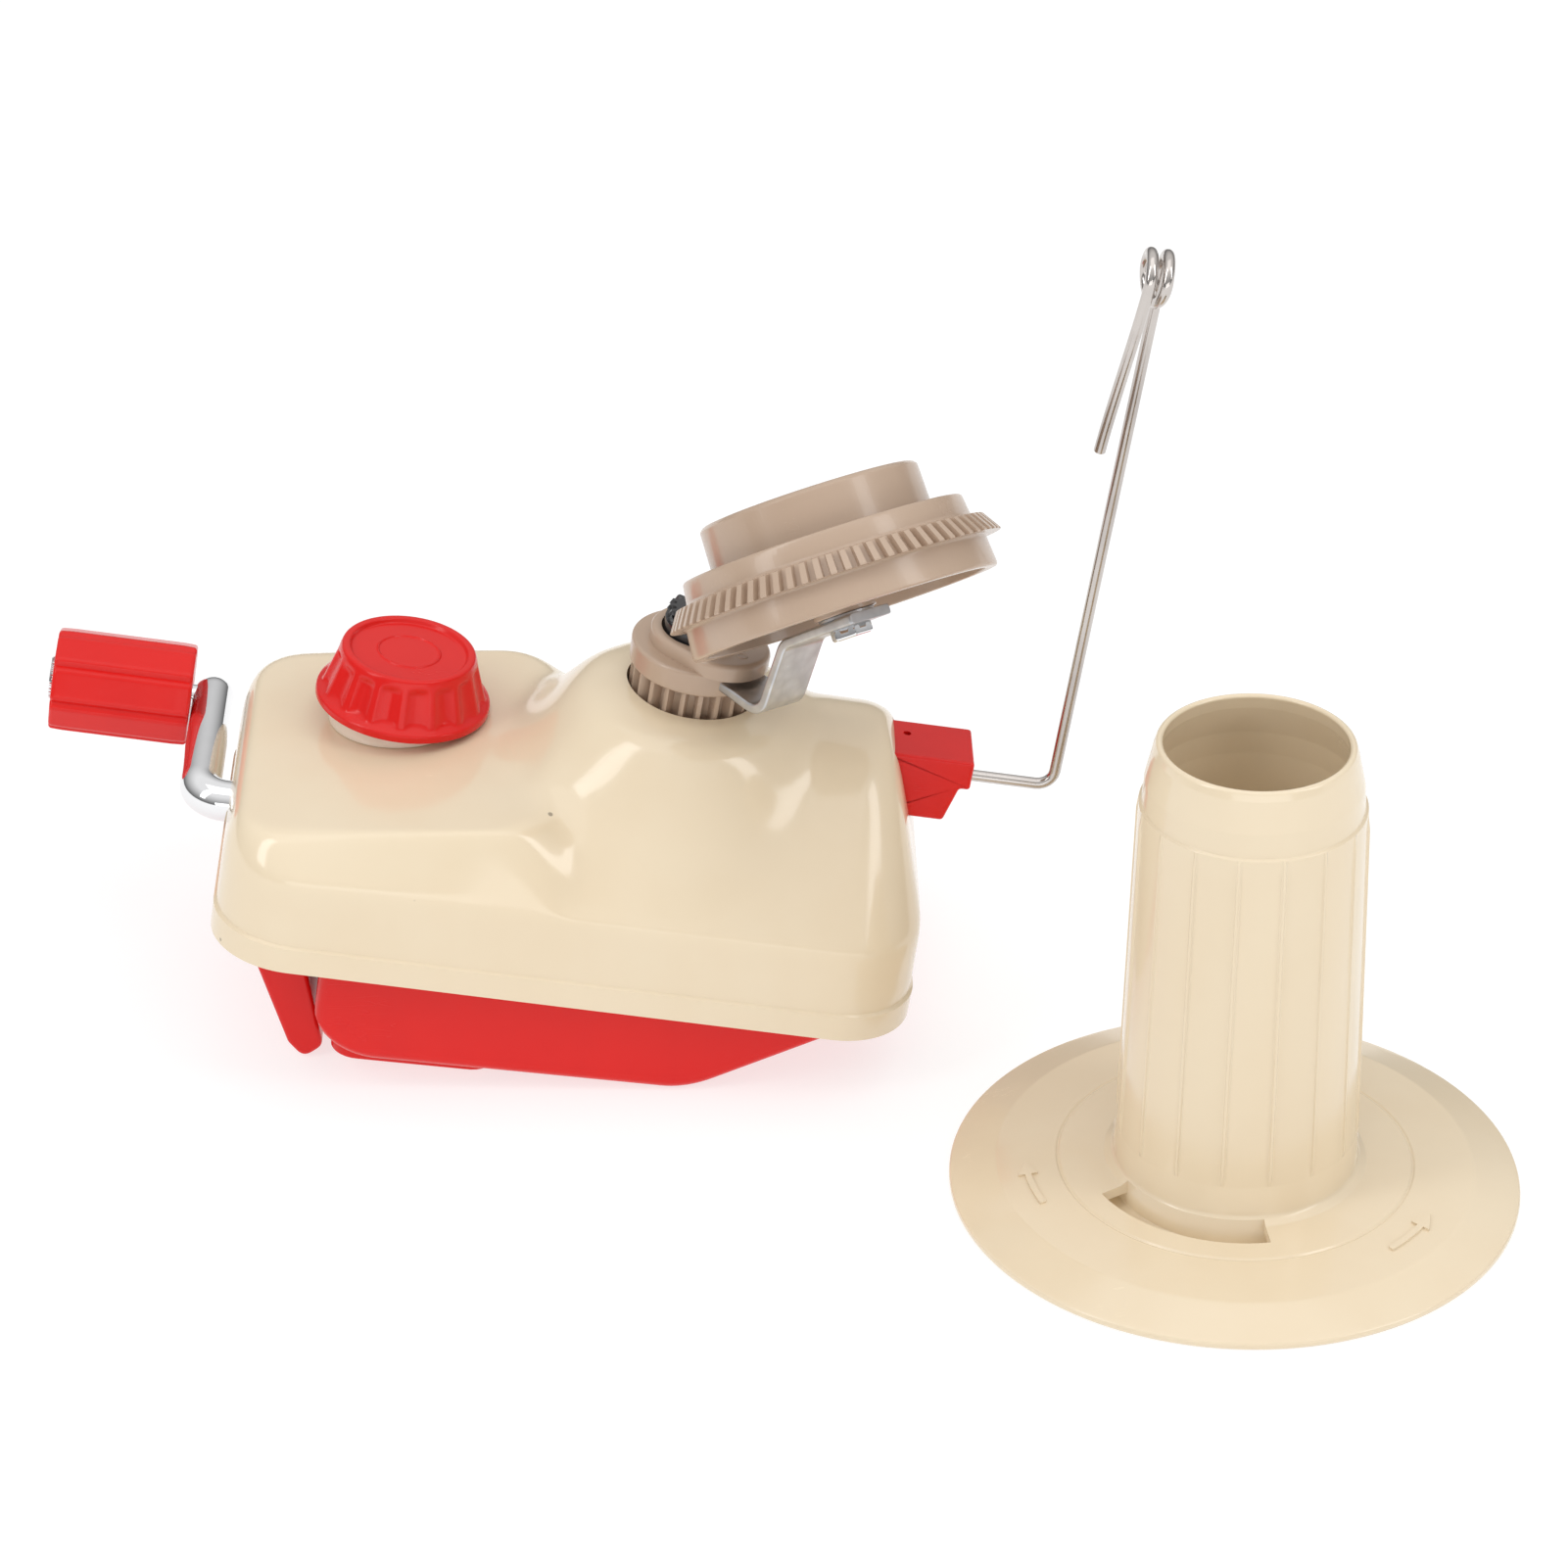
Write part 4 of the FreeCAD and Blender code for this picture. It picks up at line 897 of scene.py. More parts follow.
        settle(body, Finish.RED, "housing", "base_housing")
        outline = eased([(-65.0, 0.35, 0.6), (-51.4, -28.6, 3.0), (-47.9, -31.9, 3.4), (-44.3, -28.4, 2.6),
                         (-48.6, -14.5, 4.0), (-52.8, 0.35, 0.6)], 8)
        heel = prism(Skin(self.place), filled_in(outline, 1.5), 24.5, 1.0).build("heel_skin")
        return settle(heel, Finish.RED, "housing")

    def guide_arm(self) -> bpy.types.Object:
        """Square red arm with its notched nose and a small hole near the root of its top."""
        outline = eased([(58.5, 45.3, 0.3), (76.0, 45.3, 0.9), (76.0, 39.0, 0.8), (73.9, 39.0, 0.8),
                         (71.8, 31.4, 0.9), (58.5, 31.4, 0.3)], 6)
        piece = prism(Skin(self.place), filled_in(outline, 1.2), self.arm_half, 0.7).build("guide_arm_skin")
        holes = [rod_cutter(self.place, (62.7, 1.9, 42.0), (62.7, 1.9, 47.0), 0.8),
                 rod_cutter(self.place, (70.0, -4.0, 41.0), (80.0, -4.0, 41.0), 1.2)]
        return settle(carve(piece, holes), Finish.RED, "housing", "guide_arm")

    def wire(self) -> bpy.types.Object:
        """Yarn guide: root, elbow, upright, eye of nearly two turns and free tail, in one round wire.

        The eye is centre + R*(cos a, sin a) across y and z while x steps aside once by a smooth rise.

        Returns:
            The steel wire.
        """
        x, y, z, eye = 92.4, -4.0, 41.0, 155.4
        stem = arc_line([(70.5, y, z), (x, y, z), (x, y, eye)], [3.4], 1.5)
        a = np.linspace(0, 3.0 * pi, 120)[1:]
        aside = -3.2 * rise(0.9 * pi, 2.1 * pi, a)
        loop = np.stack([x + aside, y - self.eye_radius + self.eye_radius * np.cos(a),
                         eye + self.eye_radius * np.sin(a)], 1)
        tail_end = np.array([x - 5.8, -11.6, eye - 36.0])
        share = np.linspace(0, 1, 26)[1:, None]
        tail = loop[-1] + (tail_end - loop[-1]) * share
        lead = 0.35 * rise(0, 1, share) + 0.65 * share
        tail[:, :2] = loop[-1][:2] + (tail_end - loop[-1])[:2] * lead
        path = np.vstack([stem, loop, tail])
        turn = np.full(len(path), pi / 2)
        turn[:len(stem)] = rise(60.0, 140.0, stem[:, 2]) * pi / 2
        across = np.stack([np.sin(turn), np.cos(turn), np.zeros(len(turn))], 1)
        skin = swept(Skin(self.place), path, circle_section(self.wire_radius, 20), across, 0.25)
        return settle(skin.build("wire_skin"), Finish.WIRE, "housing", "yarn_guide_wire")

    def washer(self) -> bpy.types.Object:
        """Dished washer under the knob; its underside follows the deck."""
        x, y = self.knob
        profile = eased([(6.3, 0.0, 0.2), (6.3, 1.0, 0.3), (13.9, 1.0, 0.8), (14.6, 0.0, 0.4)], 4)
        a = ring_angles(96)
        r, _ = np.meshgrid(profile[:, 0], a, indexing="ij")
        up = np.meshgrid(profile[:, 1], a, indexing="ij")[0]
        px, py = x + r * np.cos(a)[None], y + r * np.sin(a)[None]
        deck = self.deck(px) + 0.08
        top = 33.1
        z = deck + up * np.maximum(top - deck, 0.2)
        piece = Skin(self.place).grid(np.stack([px, py, z], -1), round_v=True).build("knob_washer_skin")
        return settle(piece, Finish.CLEAR, "housing", "knob_washer")

    def lower(self, piece: bpy.types.Object) -> None:
        """Draw a piece's upper part lower and slimmer than its CAD node, so that the rotor's rim hides it.

        Height h above squash_from becomes squash_from + squash*(h - squash_from), and the distance from the
        spindle shrinks by up to a fifth.  This is for looks only and leaves the true shape: the CAD gear's
        teeth stand higher and mesh with the rotor, while the drawn ones stand clear of it.
        """
        place = self.place.moved(self.spindle, 0, 0)
        flat = np.empty(len(piece.data.vertices) * 3)
        piece.data.vertices.foreach_get("co", flat)
        p = (flat.reshape(-1, 3) - place.origin) @ np.stack([place.x, place.y, place.z]).T / MM
        start = self.squash_from
        p[:, :2] *= (1 - 0.2 * rise(start, start + 4.0, p[:, 2]))[:, None]
        p[:, 2] = np.minimum(p[:, 2], start + self.squash * (p[:, 2] - start))
        piece.data.vertices.foreach_set("co", place.world(p).ravel())
        piece.data.update()

    def sun(self) -> None:
        """Fixed black gear, its post, screw and washer, the crank's bushes and the small screws."""
        for node, finish in (("sun_gear", Finish.BLACK), ("sun_gear_screw", Finish.ZINC),
                             ("centre_post", Finish.ZINC)):
            self.lower(smooth_copy(node, finish, "housing"))
        for node, finish in (("thrust_washer", Finish.ZINC),
                             ("crank_bush_outer", Finish.NYLON), ("crank_bush_inner", Finish.NYLON),
                             ("cover_screws", Finish.ZINC), ("guide_arm_screw", Finish.ZINC)):
            smooth_copy(node, finish, "housing")

    def build(self) -> None:
        """Make every piece that is fixed to the housing."""
        self.cover()
        self.base()
        self.guide_arm()
        self.wire()
        self.washer()
        self.sun()


# ---------------------------------------------------------------- clamp
@dataclass
class Clamp:
    """Fluted knob with its nut, and the jaw with its pad, screw and guide rod."""

    place: Place
    knob: tuple[float, float] = KNOB_AT
    seat: float = 33.4
    height: float = 12.0
    base: float = 17.5
    top: float = 13.5
    flutes: int = 16
    flute_depth: float = 0.85

    def fluted(self, a: Array, r: Array, z: Array) -> tuple[Array, Array]:
        """Radius less a parabolic groove over four fifths of each pitch, between two heights."""
        across = np.abs((a * self.flutes / (2 * pi)) % 1.0 - 0.5) * 2
        groove = np.clip(1 - (across / 0.82) ** 2, 0, 1)
        run = rise(1.9, 3.4, z) * (1 - rise(9.0, 10.6, z)) * (r > 12.5)
        return r - self.flute_depth * groove * run, z

    def handle(self) -> bpy.types.Object:
        """The knob: lipped base, fluted cone, raised rim and a ring on its sunk top."""
        h = self.height
        outer = eased([(0, h - 0.9, 0), (5.9, h - 0.9, 0.2), (6.2, h - 0.55, 0.15), (6.5, h - 0.9, 0.2),
                       (11.4, h - 0.9, 0.4), (11.9, h - 0.05, 0.5), (self.top - 0.2, h, 1.3),
                       (16.35, 2.5, 1.0), (self.base - 0.05, 1.7, 0.8), (self.base, 0.25, 0.5),
                       (self.base - 0.6, 0.0, 0.3), (14.8, 0.0, 0.3), (14.4, 1.6, 0.4), (5.0, 1.6, 0.1),
                       (5.0, -48.4, 0.2), (0.0, -48.4, 0)], 6, False)
        profile = filled_in(outer, 0.45, False)
        depth = profile[:, 1]
        profile = profile[(depth > -1.0) | (np.arange(len(depth)) % 8 == 0) | (depth < -48.0)]
        place = self.place.moved(*self.knob, self.seat)
        skin = revolved(Skin(place), profile, ring_angles(self.flutes * 20), self.fluted, False)
        return settle(skin.build("knob_skin", 40), Finish.RED, "clamp_knob", "clamp_knob")

    def slab(self, name: str, plan: Array, top: float, bottom: float, edge: float) -> bpy.types.Object:
        """Slab parallel to the tray's underside, with rounded edges.

        Args:
            name: the piece's name.
            plan: its outline seen from above.
            top: distance of its upper face below the tray.
            bottom: distance of its lower face below the tray.
            edge: radius of its edges.

        Returns:
            The slab.
        """
        a = np.linspace(0, pi / 2, 6)
        inset = edge * np.concatenate([1 - np.sin(a), 1 - np.sin(a[::-1])])
        drop = np.concatenate([bottom - edge * (1 - np.cos(a)), top + edge * (1 - np.cos(a[::-1]))])
        middle = plan.mean(0)
        xy = plan[None] - inset[:, None, None] * np.sign(plan - middle)[None]
        z = tray_floor(xy[..., 0]) - drop[:, None]
        return Skin(self.place).grid(np.concatenate([xy, z[..., None]], -1), caps="both").build(name)

    def jaw(self) -> None:
        """The jaw plate with rounded corners, and its rubber pad."""
        plate = self.slab("jaw_skin", rounded_box_outline(-43.0, -10.0, 32.0, 5.0, 160), 1.2, 3.9, 0.7)
        settle(plate, Finish.RED, "clamp_jaw", "clamp_jaw")
        pad = self.slab("jaw_pad_skin", rounded_box_outline(-30.0, -11.0, 30.0, 0.8, 160), 0.4, 1.25, 0.25)
        settle(pad, Finish.RUBBER, "clamp_jaw", "jaw_pad")

    def build(self) -> None:
        """Make the knob's and the jaw's pieces."""
        self.handle()
        self.jaw()
        smooth_copy("clamp_nut", Finish.BRASS, "clamp_knob")
        smooth_copy("knob_circlip", Finish.ZINC, "clamp_knob")
        smooth_copy("clamp_screw", Finish.ZINC, "clamp_jaw")
        smooth_copy("jaw_guide_rod", Finish.ZINC, "clamp_jaw")


# ---------------------------------------------------------------- crank
@dataclass
class Crank:
    """Bent chrome bar with its crown gear, and the faceted grip on its pin."""

    place: Place
    z: float = CRANK_HEIGHT
    arm: float = 40.0
    arm_x: float = -75.2
    bar: float = 4.2
    shaft: float = 3.0
    grip_start: float = -79.6
    grip_end: float = -108.0
    lobes: int = 8

    def rod(self) -> bpy.types.Object:
        """Shaft, tight bend and arm; the arm's end is a half ball."""
        path = arc_line([(-64.2, 0, self.z), (self.arm_x, 0, self.z),
                         (self.arm_x, self.arm + self.bar, self.z)], [5.5], 0.9)
        skin = swept(Skin(self.place), path, circle_section(self.bar, 40), np.array([0, 0, 1.0]), 3.6)
        inner = arc_line([(9.5, 0, self.z), (-30, 0, self.z), (-66.0, 0, self.z)], [0.1], 2.0)
        swept(skin, inner, circle_section(self.shaft, 32), np.array([0, 0, 1.0]), 0.3)
        return settle(skin.build("crank_skin", 45), Finish.CHROME, "crank", "crank")

    def lobed(self, a: Array, r: Array, z: Array) -> tuple[Array, Array]:
        """Radius of broad, almost flat facets parted by narrow V grooves.

        At an angle b from a facet's middle the edge is min(10.6, 10.3/cos b) less a groove that deepens
        in a straight line over the last millimetre before the facet's end.
        """
        b = (a % (2 * pi / self.lobes)) - pi / self.lobes
        groove = np.clip(1 - (pi / self.lobes - np.abs(b)) * 10.6 / 1.0, 0, 1)
        edge = np.minimum(10.6, 10.3 / np.cos(b)) - 0.7 * groove
        share = rise(7.0, 9.0, r)
        return r * (1 + share * (edge / 10.6 - 1)), z

    def grip(self) -> bpy.types.Object:
        """Straight grip with broad facets, sunk at its outer end round the pin's head."""
        n = self.grip_start - self.grip_end
        profile = eased([(2.35, 0.3, 0.2), (5.0, 0.0, 0.4), (10.45, 0.0, 0.9), (10.6, 3.0, 4.0),
                         (10.6, n - 3.0, 4.0), (10.45, n, 0.9), (5.6, n, 0.4), (5.2, n - 0.6, 0.1),
                         (2.35, n - 0.6, 0.1)], 7)
        x_axis = -self.place.x
        place = Place(self.place.world(np.array([self.grip_start, self.arm, self.z])), self.place.y,
                      np.cross(x_axis, self.place.y), x_axis)
        skin = revolved(Skin(place), filled_in(profile, 0.9), ring_angles(self.lobes * 40), self.lobed)
        return settle(skin.build("grip_skin", 34), Finish.RED, "grip", "crank_grip")

    def build(self) -> None:
        """Make the crank's and the grip's pieces."""
        self.rod()
        self.grip()
        smooth_copy("crown_gear", Finish.NYLON, "crank")
        smooth_copy("crank_clip", Finish.ZINC, "crank")
        smooth_copy("grip_pin", Finish.CHROME, "crank")


# ---------------------------------------------------------------- drive column
@dataclass
class Carrier:
    """Drive gear, flange with its off-centre boss, bent bracket and the rotor's pin."""

    place: Place
    out: Array
    rotor: Place
    tilt: float
    flange: float = 13.6
    flange_bottom: float = 56.0
    flange_top: float = 61.0
    boss_top: float = 64.0
    boss_near: float = 10.2
    boss_far: float = 9.0
    boss_shift: float = 7.0
    collar: float = 8.1
    strip_half: float = 5.25
    strip_thick: float = 2.0
    foot: float = 58.6

    def column(self) -> Place:
        """Place on the spindle with x towards the bracket."""
        side = np.cross(self.place.z, self.out)
        return Place(self.place.world(np.array([SPINDLE, 0, 0])), self.out, side, self.place.z)

    def boss_radius(self, a: Array) -> Array:
        """Distance from the spindle to the edge of two discs and their common tangents.

        For direction a the edge of a disc of radius R shifted by e is e*cos a + sqrt(R^2 - (e*sin a)^2);
        the tangent bridges them where neither disc's own edge lies further out.
        """
        near = np.full(a.shape, self.boss_near)
        s = np.clip(self.boss_far**2 - (self.boss_shift * np.sin(a)) ** 2, 0, None)
        far = np.where(np.cos(a) > -0.2, self.boss_shift * np.cos(a) + np.sqrt(s), 0)
        lean = np.arcsin((self.boss_near - self.boss_far) / self.boss_shift)
        b = np.abs((a + pi) % (2 * pi) - pi)
        touch_near = pi / 2 - lean
        touch_far = np.arctan2(self.boss_far * cos(lean), self.boss_shift + self.boss_far * sin(lean))
        bridge = self.boss_near / np.maximum(np.cos(b - touch_near), 0.3)
        return np.where(b > touch_near, near, np.where(b < touch_far, far, bridge))

    def disc(self) -> bpy.types.Object:
        """Flange with the boss standing on it and the pocket for the black gear's collar.

        The profile is turned round the spindle; above the flange its outer radius is the boss's edge.
        """
        a = ring_angles(192)
        edge = self.boss_radius(a)
        low = eased([(3.05, self.flange_bottom, 0.1), (self.flange - 0.2, self.flange_bottom, 0.6),
                     (self.flange, self.flange_top, 0.8), (3.05, self.flange_top, 0.1)], 6)
        skin = revolved(Skin(self.column()), low, a)
        r, z = [], []
        for inset, height in ((0.0, self.flange_top - 0.4), (0.0, self.boss_top - 1.0),
                              (0.1, self.boss_top - 0.6), (0.35, self.boss_top - 0.25),
                              (0.7, self.boss_top - 0.06), (1.1, self.boss_top)):
            r.append(edge - inset)
            z.append(np.full(a.shape, height))
        for radius, height in ((self.collar + 0.3, self.boss_top), (self.collar + 0.08, self.boss_top - 0.08),
                               (self.collar, self.boss_top - 0.3), (self.collar, self.flange_top - 0.4)):
            r.append(np.full(a.shape, radius))
            z.append(np.full(a.shape, height))
        r, z = np.stack(r), np.stack(z)
        skin.grid(np.stack([r * np.cos(a), r * np.sin(a), z], -1), round_v=True)
        ring = eased([(0.75, self.boss_top - 0.1, 0), (0.75, self.boss_top + 0.14, 0.1),
                      (1.15, self.boss_top + 0.14, 0.1), (1.15, self.boss_top - 0.1, 0)], 4)
        mark = revolved(Skin(self.column().moved(12.0, 0, 0)), ring, ring_angles(40)).build("flange_mark")
        settle(mark, Finish.TAN, "carrier")
        piece = skin.build("flange_skin")
        return settle(piece, Finish.TAN, "carrier", "carrier_flange")

    def bracket(self) -> bpy.types.Object:
        """Strip bent twice: foot held in the flange, steep web, and a top plate square to the pin."""
        place = self.column()
        centre = (self.rotor.origin - place.origin) @ np.stack([place.x, place.y, place.z]).T / MM
        axis = np.array([-sin(self.tilt), 0, cos(self.tilt)])
        pin = centre - axis * 8.6
        along = np.array([cos(self.tilt), 0, sin(self.tilt)])
        corners = [(7.0, 0, self.foot), (24.2, 0, self.foot), tuple(pin - 14.8 * along),
                   tuple(pin + 6.9 * along)]
        path = arc_line(corners, [4.0, 4.0], 0.8)
        h, t = self.strip_half, self.strip_thick / 2
        section = eased([(-h, -t, 0.5), (h, -t, 0.5), (h, t, 0.5), (-h, t, 0.5)], 4)
        skin = swept(Skin(place), path, section, np.array([0, 1.0, 0]), 0.5)
        piece = skin.build("bracket_skin")
        return settle(piece, Finish.ZINC, "carrier", "rotor_bracket")

    def nut(self) -> None:
        """Hexagon nut under the bracket, its corners turned down on the outer face."""
        a = ring_angles(72)
        flat = (a + pi / 6) % (pi / 3) - pi / 6
        hexagon = 3.72 / np.cos(flat)
        profile = np.array([(0.99, -9.65), (1.0, -9.75), (1.0, -11.1), (0.985, -11.35), (0.93, -11.6),
                            (0.82, -11.75)])
        r = np.minimum(profile[:, :1] * hexagon[None], np.array([9, 9, 9, 4.2, 3.95, 3.6])[:, None])
        z = np.broadcast_to(profile[:, 1:], r.shape)
        p = np.stack([r * np.cos(a), r * np.sin(a), z], -1)
        piece = Skin(self.rotor).grid(p, caps="both").build("pin_nut_skin", 24)
        settle(piece, Finish.CHROME, "carrier", "rotor_pin_nut")

    def build(self) -> None:
        """Make the carrier's pieces."""
        self.disc()
        self.bracket()
        self.nut()
        for node, finish in (("drive_gear", Finish.TAN), ("carrier_rivets", Finish.ZINC),
                             ("rotor_pin", Finish.ZINC),
                             ("rotor_washer", Finish.ZINC), ("rotor_clip", Finish.ZINC)):
            smooth_copy(node, finish, "carrier")


# ---------------------------------------------------------------- rotor
@dataclass
class Rotor:
    """Tilted rotor: skirt, bevel teeth, ring, groove and the spool's seat with its cap."""

    place: Place
    teeth: int = ROTOR_TEETH
    apex: float = 49.62
    cone: float = 0.0
    tooth_bottom: float = -0.7
    tooth_top: float = 3.4

    def toothed(self, a: Array, r: Array, z: Array) -> tuple[Array, Array]:
        """Radius of the tooth band: root, flank and tip of straight teeth that shrink towards the apex."""
        pitch = (self.apex - z) * tan(self.cone)
        across = np.abs(((a - pi - pi / self.teeth) * self.teeth / (2 * pi) + 0.5) % 1.0 - 0.5) * 2
        tooth = 1 - np.clip((across - 0.44) / (0.60 - 0.44), 0, 1)
        band = (z > self.tooth_bottom - 1e-6) & (z < self.tooth_top + 1e-6) & (r > 30.9 - (z + 0.7) * 0.75)
        edge = pitch - 1.15 + 1.7 * tooth
        return np.where(band, np.minimum(r, edge), r), z

    def ring(self) -> bpy.types.Object:
        """The rotor itself, turned about its pin, with its underside, web and hub."""
        tip = (self.apex - np.array([self.tooth_bottom, self.tooth_top])) * tan(self.cone) + 0.55
        corners = [(27.8, -7.1, 0.4), (30.4, -7.1, 0.7), (29.9, -1.3, 0.6), (30.0, -0.95, 0.2),
                   (30.4, self.tooth_bottom - 0.02, 0.05), (tip[0] - 0.25, self.tooth_bottom, 0.05),
                   (tip[0], self.tooth_bottom + 0.3, 0.1), (tip[1] + 0.1, self.tooth_top - 0.2, 0.1),
                   (28.5, self.tooth_top + 0.12, 0.1), (28.3, 4.0, 0.3), (27.8, 7.95, 0.8),
                   (25.6, 7.95, 0.5), (25.4, 4.4, 0.4), (22.0, 4.4, 0.5), (21.7, 16.0, 0.4),
                   (20.9, 16.8, 1.4), (19.9, 16.8, 0.25), (19.9, 14.4, 0.1), (19.3, 14.4, 0.1),
                   (19.3, 2.2, 0.6), (6.2, 2.2, 0.6), (6.2, 9.2, 0.2),
                   (2.6, 9.2, 0.1), (2.6, -7.0, 0.1), (6.2, -7.0, 0.4), (6.2, 0.0, 0.6), (27.4, 0.0, 0.6)]
        profile = filled_in(eased(corners, 3), 3.0)
        pitch = 2 * pi / self.teeth
        within = np.array([-0.60, -0.44, -0.40, 0.0, 0.40, 0.44, 0.60, 1.0]) / 2
        columns = ((np.arange(self.teeth)[:, None] + 0.5 + within[None]) * pitch + pi).ravel()
        columns = np.sort(columns % (2 * pi))
        skin = revolved(Skin(self.place), profile, columns, self.toothed)
        ribs = 6
        for k in range(ribs):
            a = 2 * pi * (k + 0.5) / ribs
            place = Place(self.place.origin, self.place.x * cos(a) + self.place.y * sin(a),
                          -self.place.x * sin(a) + self.place.y * cos(a), self.place.z)
            outline = eased([(6.0, -5.0, 0.1), (6.0, 0.2, 0.1), (27.9, 0.2, 0.1), (27.9, -3.2, 0.1)], 2)
            rib = Skin(place)
            prism(rib, filled_in(outline, 3.0), 0.6, 0.15)
            local = (place.world(np.vstack(rib.points)) - self.place.origin) / MM
            local = local @ np.stack([self.place.x, self.place.y, self.place.z]).T
            skin.faces += [[i + skin.count for i in face] for face in rib.faces]
            skin.points.append(local)
            skin.count += len(local)
        return settle(skin.build("rotor_skin", 30), Finish.TAN, "rotor", "rotor")

    def cap(self) -> bpy.types.Object:
        """Cap sunk in the seat's mouth, dished, with a raised lug and a narrow slot."""
        profile = eased([(0, 14.5, 0), (19.8, 14.5, 0.2), (19.8, 16.2, 0.5), (17.4, 16.3, 0.6),
                         (16.6, 15.6, 0.6), (0, 15.35, 0)], 6, False)
        skin = revolved(Skin(self.place), filled_in(profile, 1.0, False), ring_angles(128), None, False)
        piece = skin.build("rotor_cap_skin")
        slot = block_cutter(self.place, (-6.5, 6.5, 15.0), (8.5, 9.0, 18.0))
        carve(piece, (slot,))
        settle(piece, Finish.TAN, "rotor", "rotor_cap")
        outline = eased([(-16.2, 15.4, 0.1), (-13.2, 15.4, 0.1), (-13.2, 16.7, 0.5), (-16.2, 16.7, 0.5)], 4)
        lug = prism(Skin(self.place), outline, 1.2, 0.35).build("rotor_lug_skin")
        return settle(lug, Finish.TAN, "rotor")

    def build(self) -> None:
        """Make the rotor's pieces."""
        self.ring()
        self.cap()


# ---------------------------------------------------------------- spool
@dataclass
class Spool:
    """Pull-off spool: dished foot, ribbed tapering tube, necked rim and latch window."""

    place: Place
    ribs: int = 16
    radius: float = 55.0
    window: tuple[float, float] = (-153.0, -81.0)
    window_r: tuple[float, float] = (23.9, 29.6)

    def angles(self) -> Array:
        """Columns crowded at each rib and spread between."""
        pitch = 360.0 / self.ribs
        step = np.concatenate([[-1.5, -0.95, -0.55, 0.0, 0.55, 0.95, 1.5], np.linspace(3.0, pitch - 3.0, 9)])
        degrees = ((np.arange(self.ribs)[:, None] + 0.5) * pitch + step[None]).ravel()
        return np.sort(np.radians(degrees % 360.0))

    def ribbed(self, a: Array, r: Array, z: Array) -> tuple[Array, Array]:
        """Outer tube radius with a narrow rounded rib standing 0.42 mm proud, fading at both ends."""
        pitch = 2 * pi / self.ribs
        off = np.abs(((a / pitch) % 1.0) - 0.5) * pitch * r
        bump = 0.42 * np.clip(1.25 - 1.25 * (off / 0.42) ** 2, 0, 1)
        outer = (r > 21.2 + (85.0 - z) * 0.0239 - 0.15) & (z > 14.0) & (z < 85.1)
        return r + np.where(outer, bump * rise(14.0, 15.5, z) * (1 - rise(84.2, 85.0, z)), 0), z

    def shell(self) -> bpy.types.Object:
        """The moulding, turned about its axis, with the latch window cut through its foot."""
        corners = [(54.6, 0.0, 0.3), (55.0, 0.4, 0.4), (55.0, 1.4, 0.6), (46.0, 4.45, 3.0), (34.6, 5.55, 0.3),
                   (34.2, 5.3, 0.2), (33.8, 5.65, 0.3), (25.2, 6.55, 1.0), (23.55, 7.6, 1.2),
                   (23.0, 14.0, 3.0),
                   (21.3, 85.0, 0.25), (20.75, 85.35, 0.25), (20.4, 90.0, 5.0), (19.0, 96.2, 2.0),
                   (18.5, 97.7, 0.7), (17.8, 98.0, 0.4), (17.2, 97.6, 0.5), (17.6, 95.0, 1.0),
                   (19.2, 89.0, 3.0), (19.8, 84.0, 2.0), (21.5, 14.0, 2.0), (22.0, 10.0, 0.5),
                   (22.0, 0.6, 0.3), (27.6, 0.6, 0.2),
                   (27.6, 1.3, 0.2), (23.9, 1.7, 0.3), (23.9, 4.6, 0.3), (33.8, 3.7, 2.0), (45.6, 2.5, 2.0),
                   (53.4, 0.0, 0.4)]
        profile = filled_in(eased(corners, 4), 3.0)
        piece = revolved(Skin(self.place), profile, self.angles(), self.ribbed).build("spool_skin", 30)
        a = np.radians(np.linspace(*self.window, 60))
        r0, r1 = self.window_r
        loop = np.concatenate([np.stack([r0 * np.cos(a), r0 * np.sin(a)], 1),
                               np.stack([r1 * np.cos(a[::-1]), r1 * np.sin(a[::-1])], 1)])
        p = np.stack([np.column_stack([loop, np.full(len(loop), z)]) for z in (1.9, 12.0)])
        cutter = Skin(self.place).grid(p, caps="both").build("cutter")
        carve(piece, (cutter,), 0.0, 30)
        return settle(piece, Finish.CREAM, "spool", "spool")

    def foot_height(self, r: Array) -> Array:
        """Height of the foot's upper face at a radius."""
        return np.interp(r, [25.2, 34.0, 46.0, 55.0], [6.55, 5.62, 4.45, 1.4])

    def arrow(self, name: str, middle: float, radius: float, flip: bool) -> bpy.types.Object:
        """Low raised arrow bent round the foot.

        Its outline is given as (run along the arc, offset across it); top and base rings follow the foot.

        Args:
            name: the piece's name.
            middle: angle of its middle, degrees.
            radius: its distance from the axis, mm.
            flip: whether it points the other way round.

        Returns:
            The arrow.
        """
        shape = np.array([(-7, -0.6), (2.6, -0.6), (2.6, -1.9), (7, 0), (2.6, 1.9), (2.6, 0.6),
                          (-7, 0.6)], float)
        shape = filled_in(shape, 0.8) * (-1 if flip else 1, 1)
        a = radians(middle) + shape[:, 0] / radius
        r = radius + shape[:, 1]
        flat = np.stack([r * np.cos(a), r * np.sin(a)], 1)
        rings = [np.column_stack([flat, self.foot_height(r) + h]) for h in (-0.3, 0.38, 0.48)]
        centre = np.array([radius * cos(radians(middle)), radius * sin(radians(middle))])
        rings[2][:, :2] = centre + (flat - centre) * 0.985
        piece = Skin(self.place).grid(np.stack(rings), caps="both").build(name)
        return settle(piece, Finish.CREAM, "spool")

    def build(self) -> None:
        """Make the spool and its arrows."""
        self.shell()
        self.arrow("spool_arrow_left", -168.0, 40.5, True)
        self.arrow("spool_arrow_right", -38.0, 40.5, False)


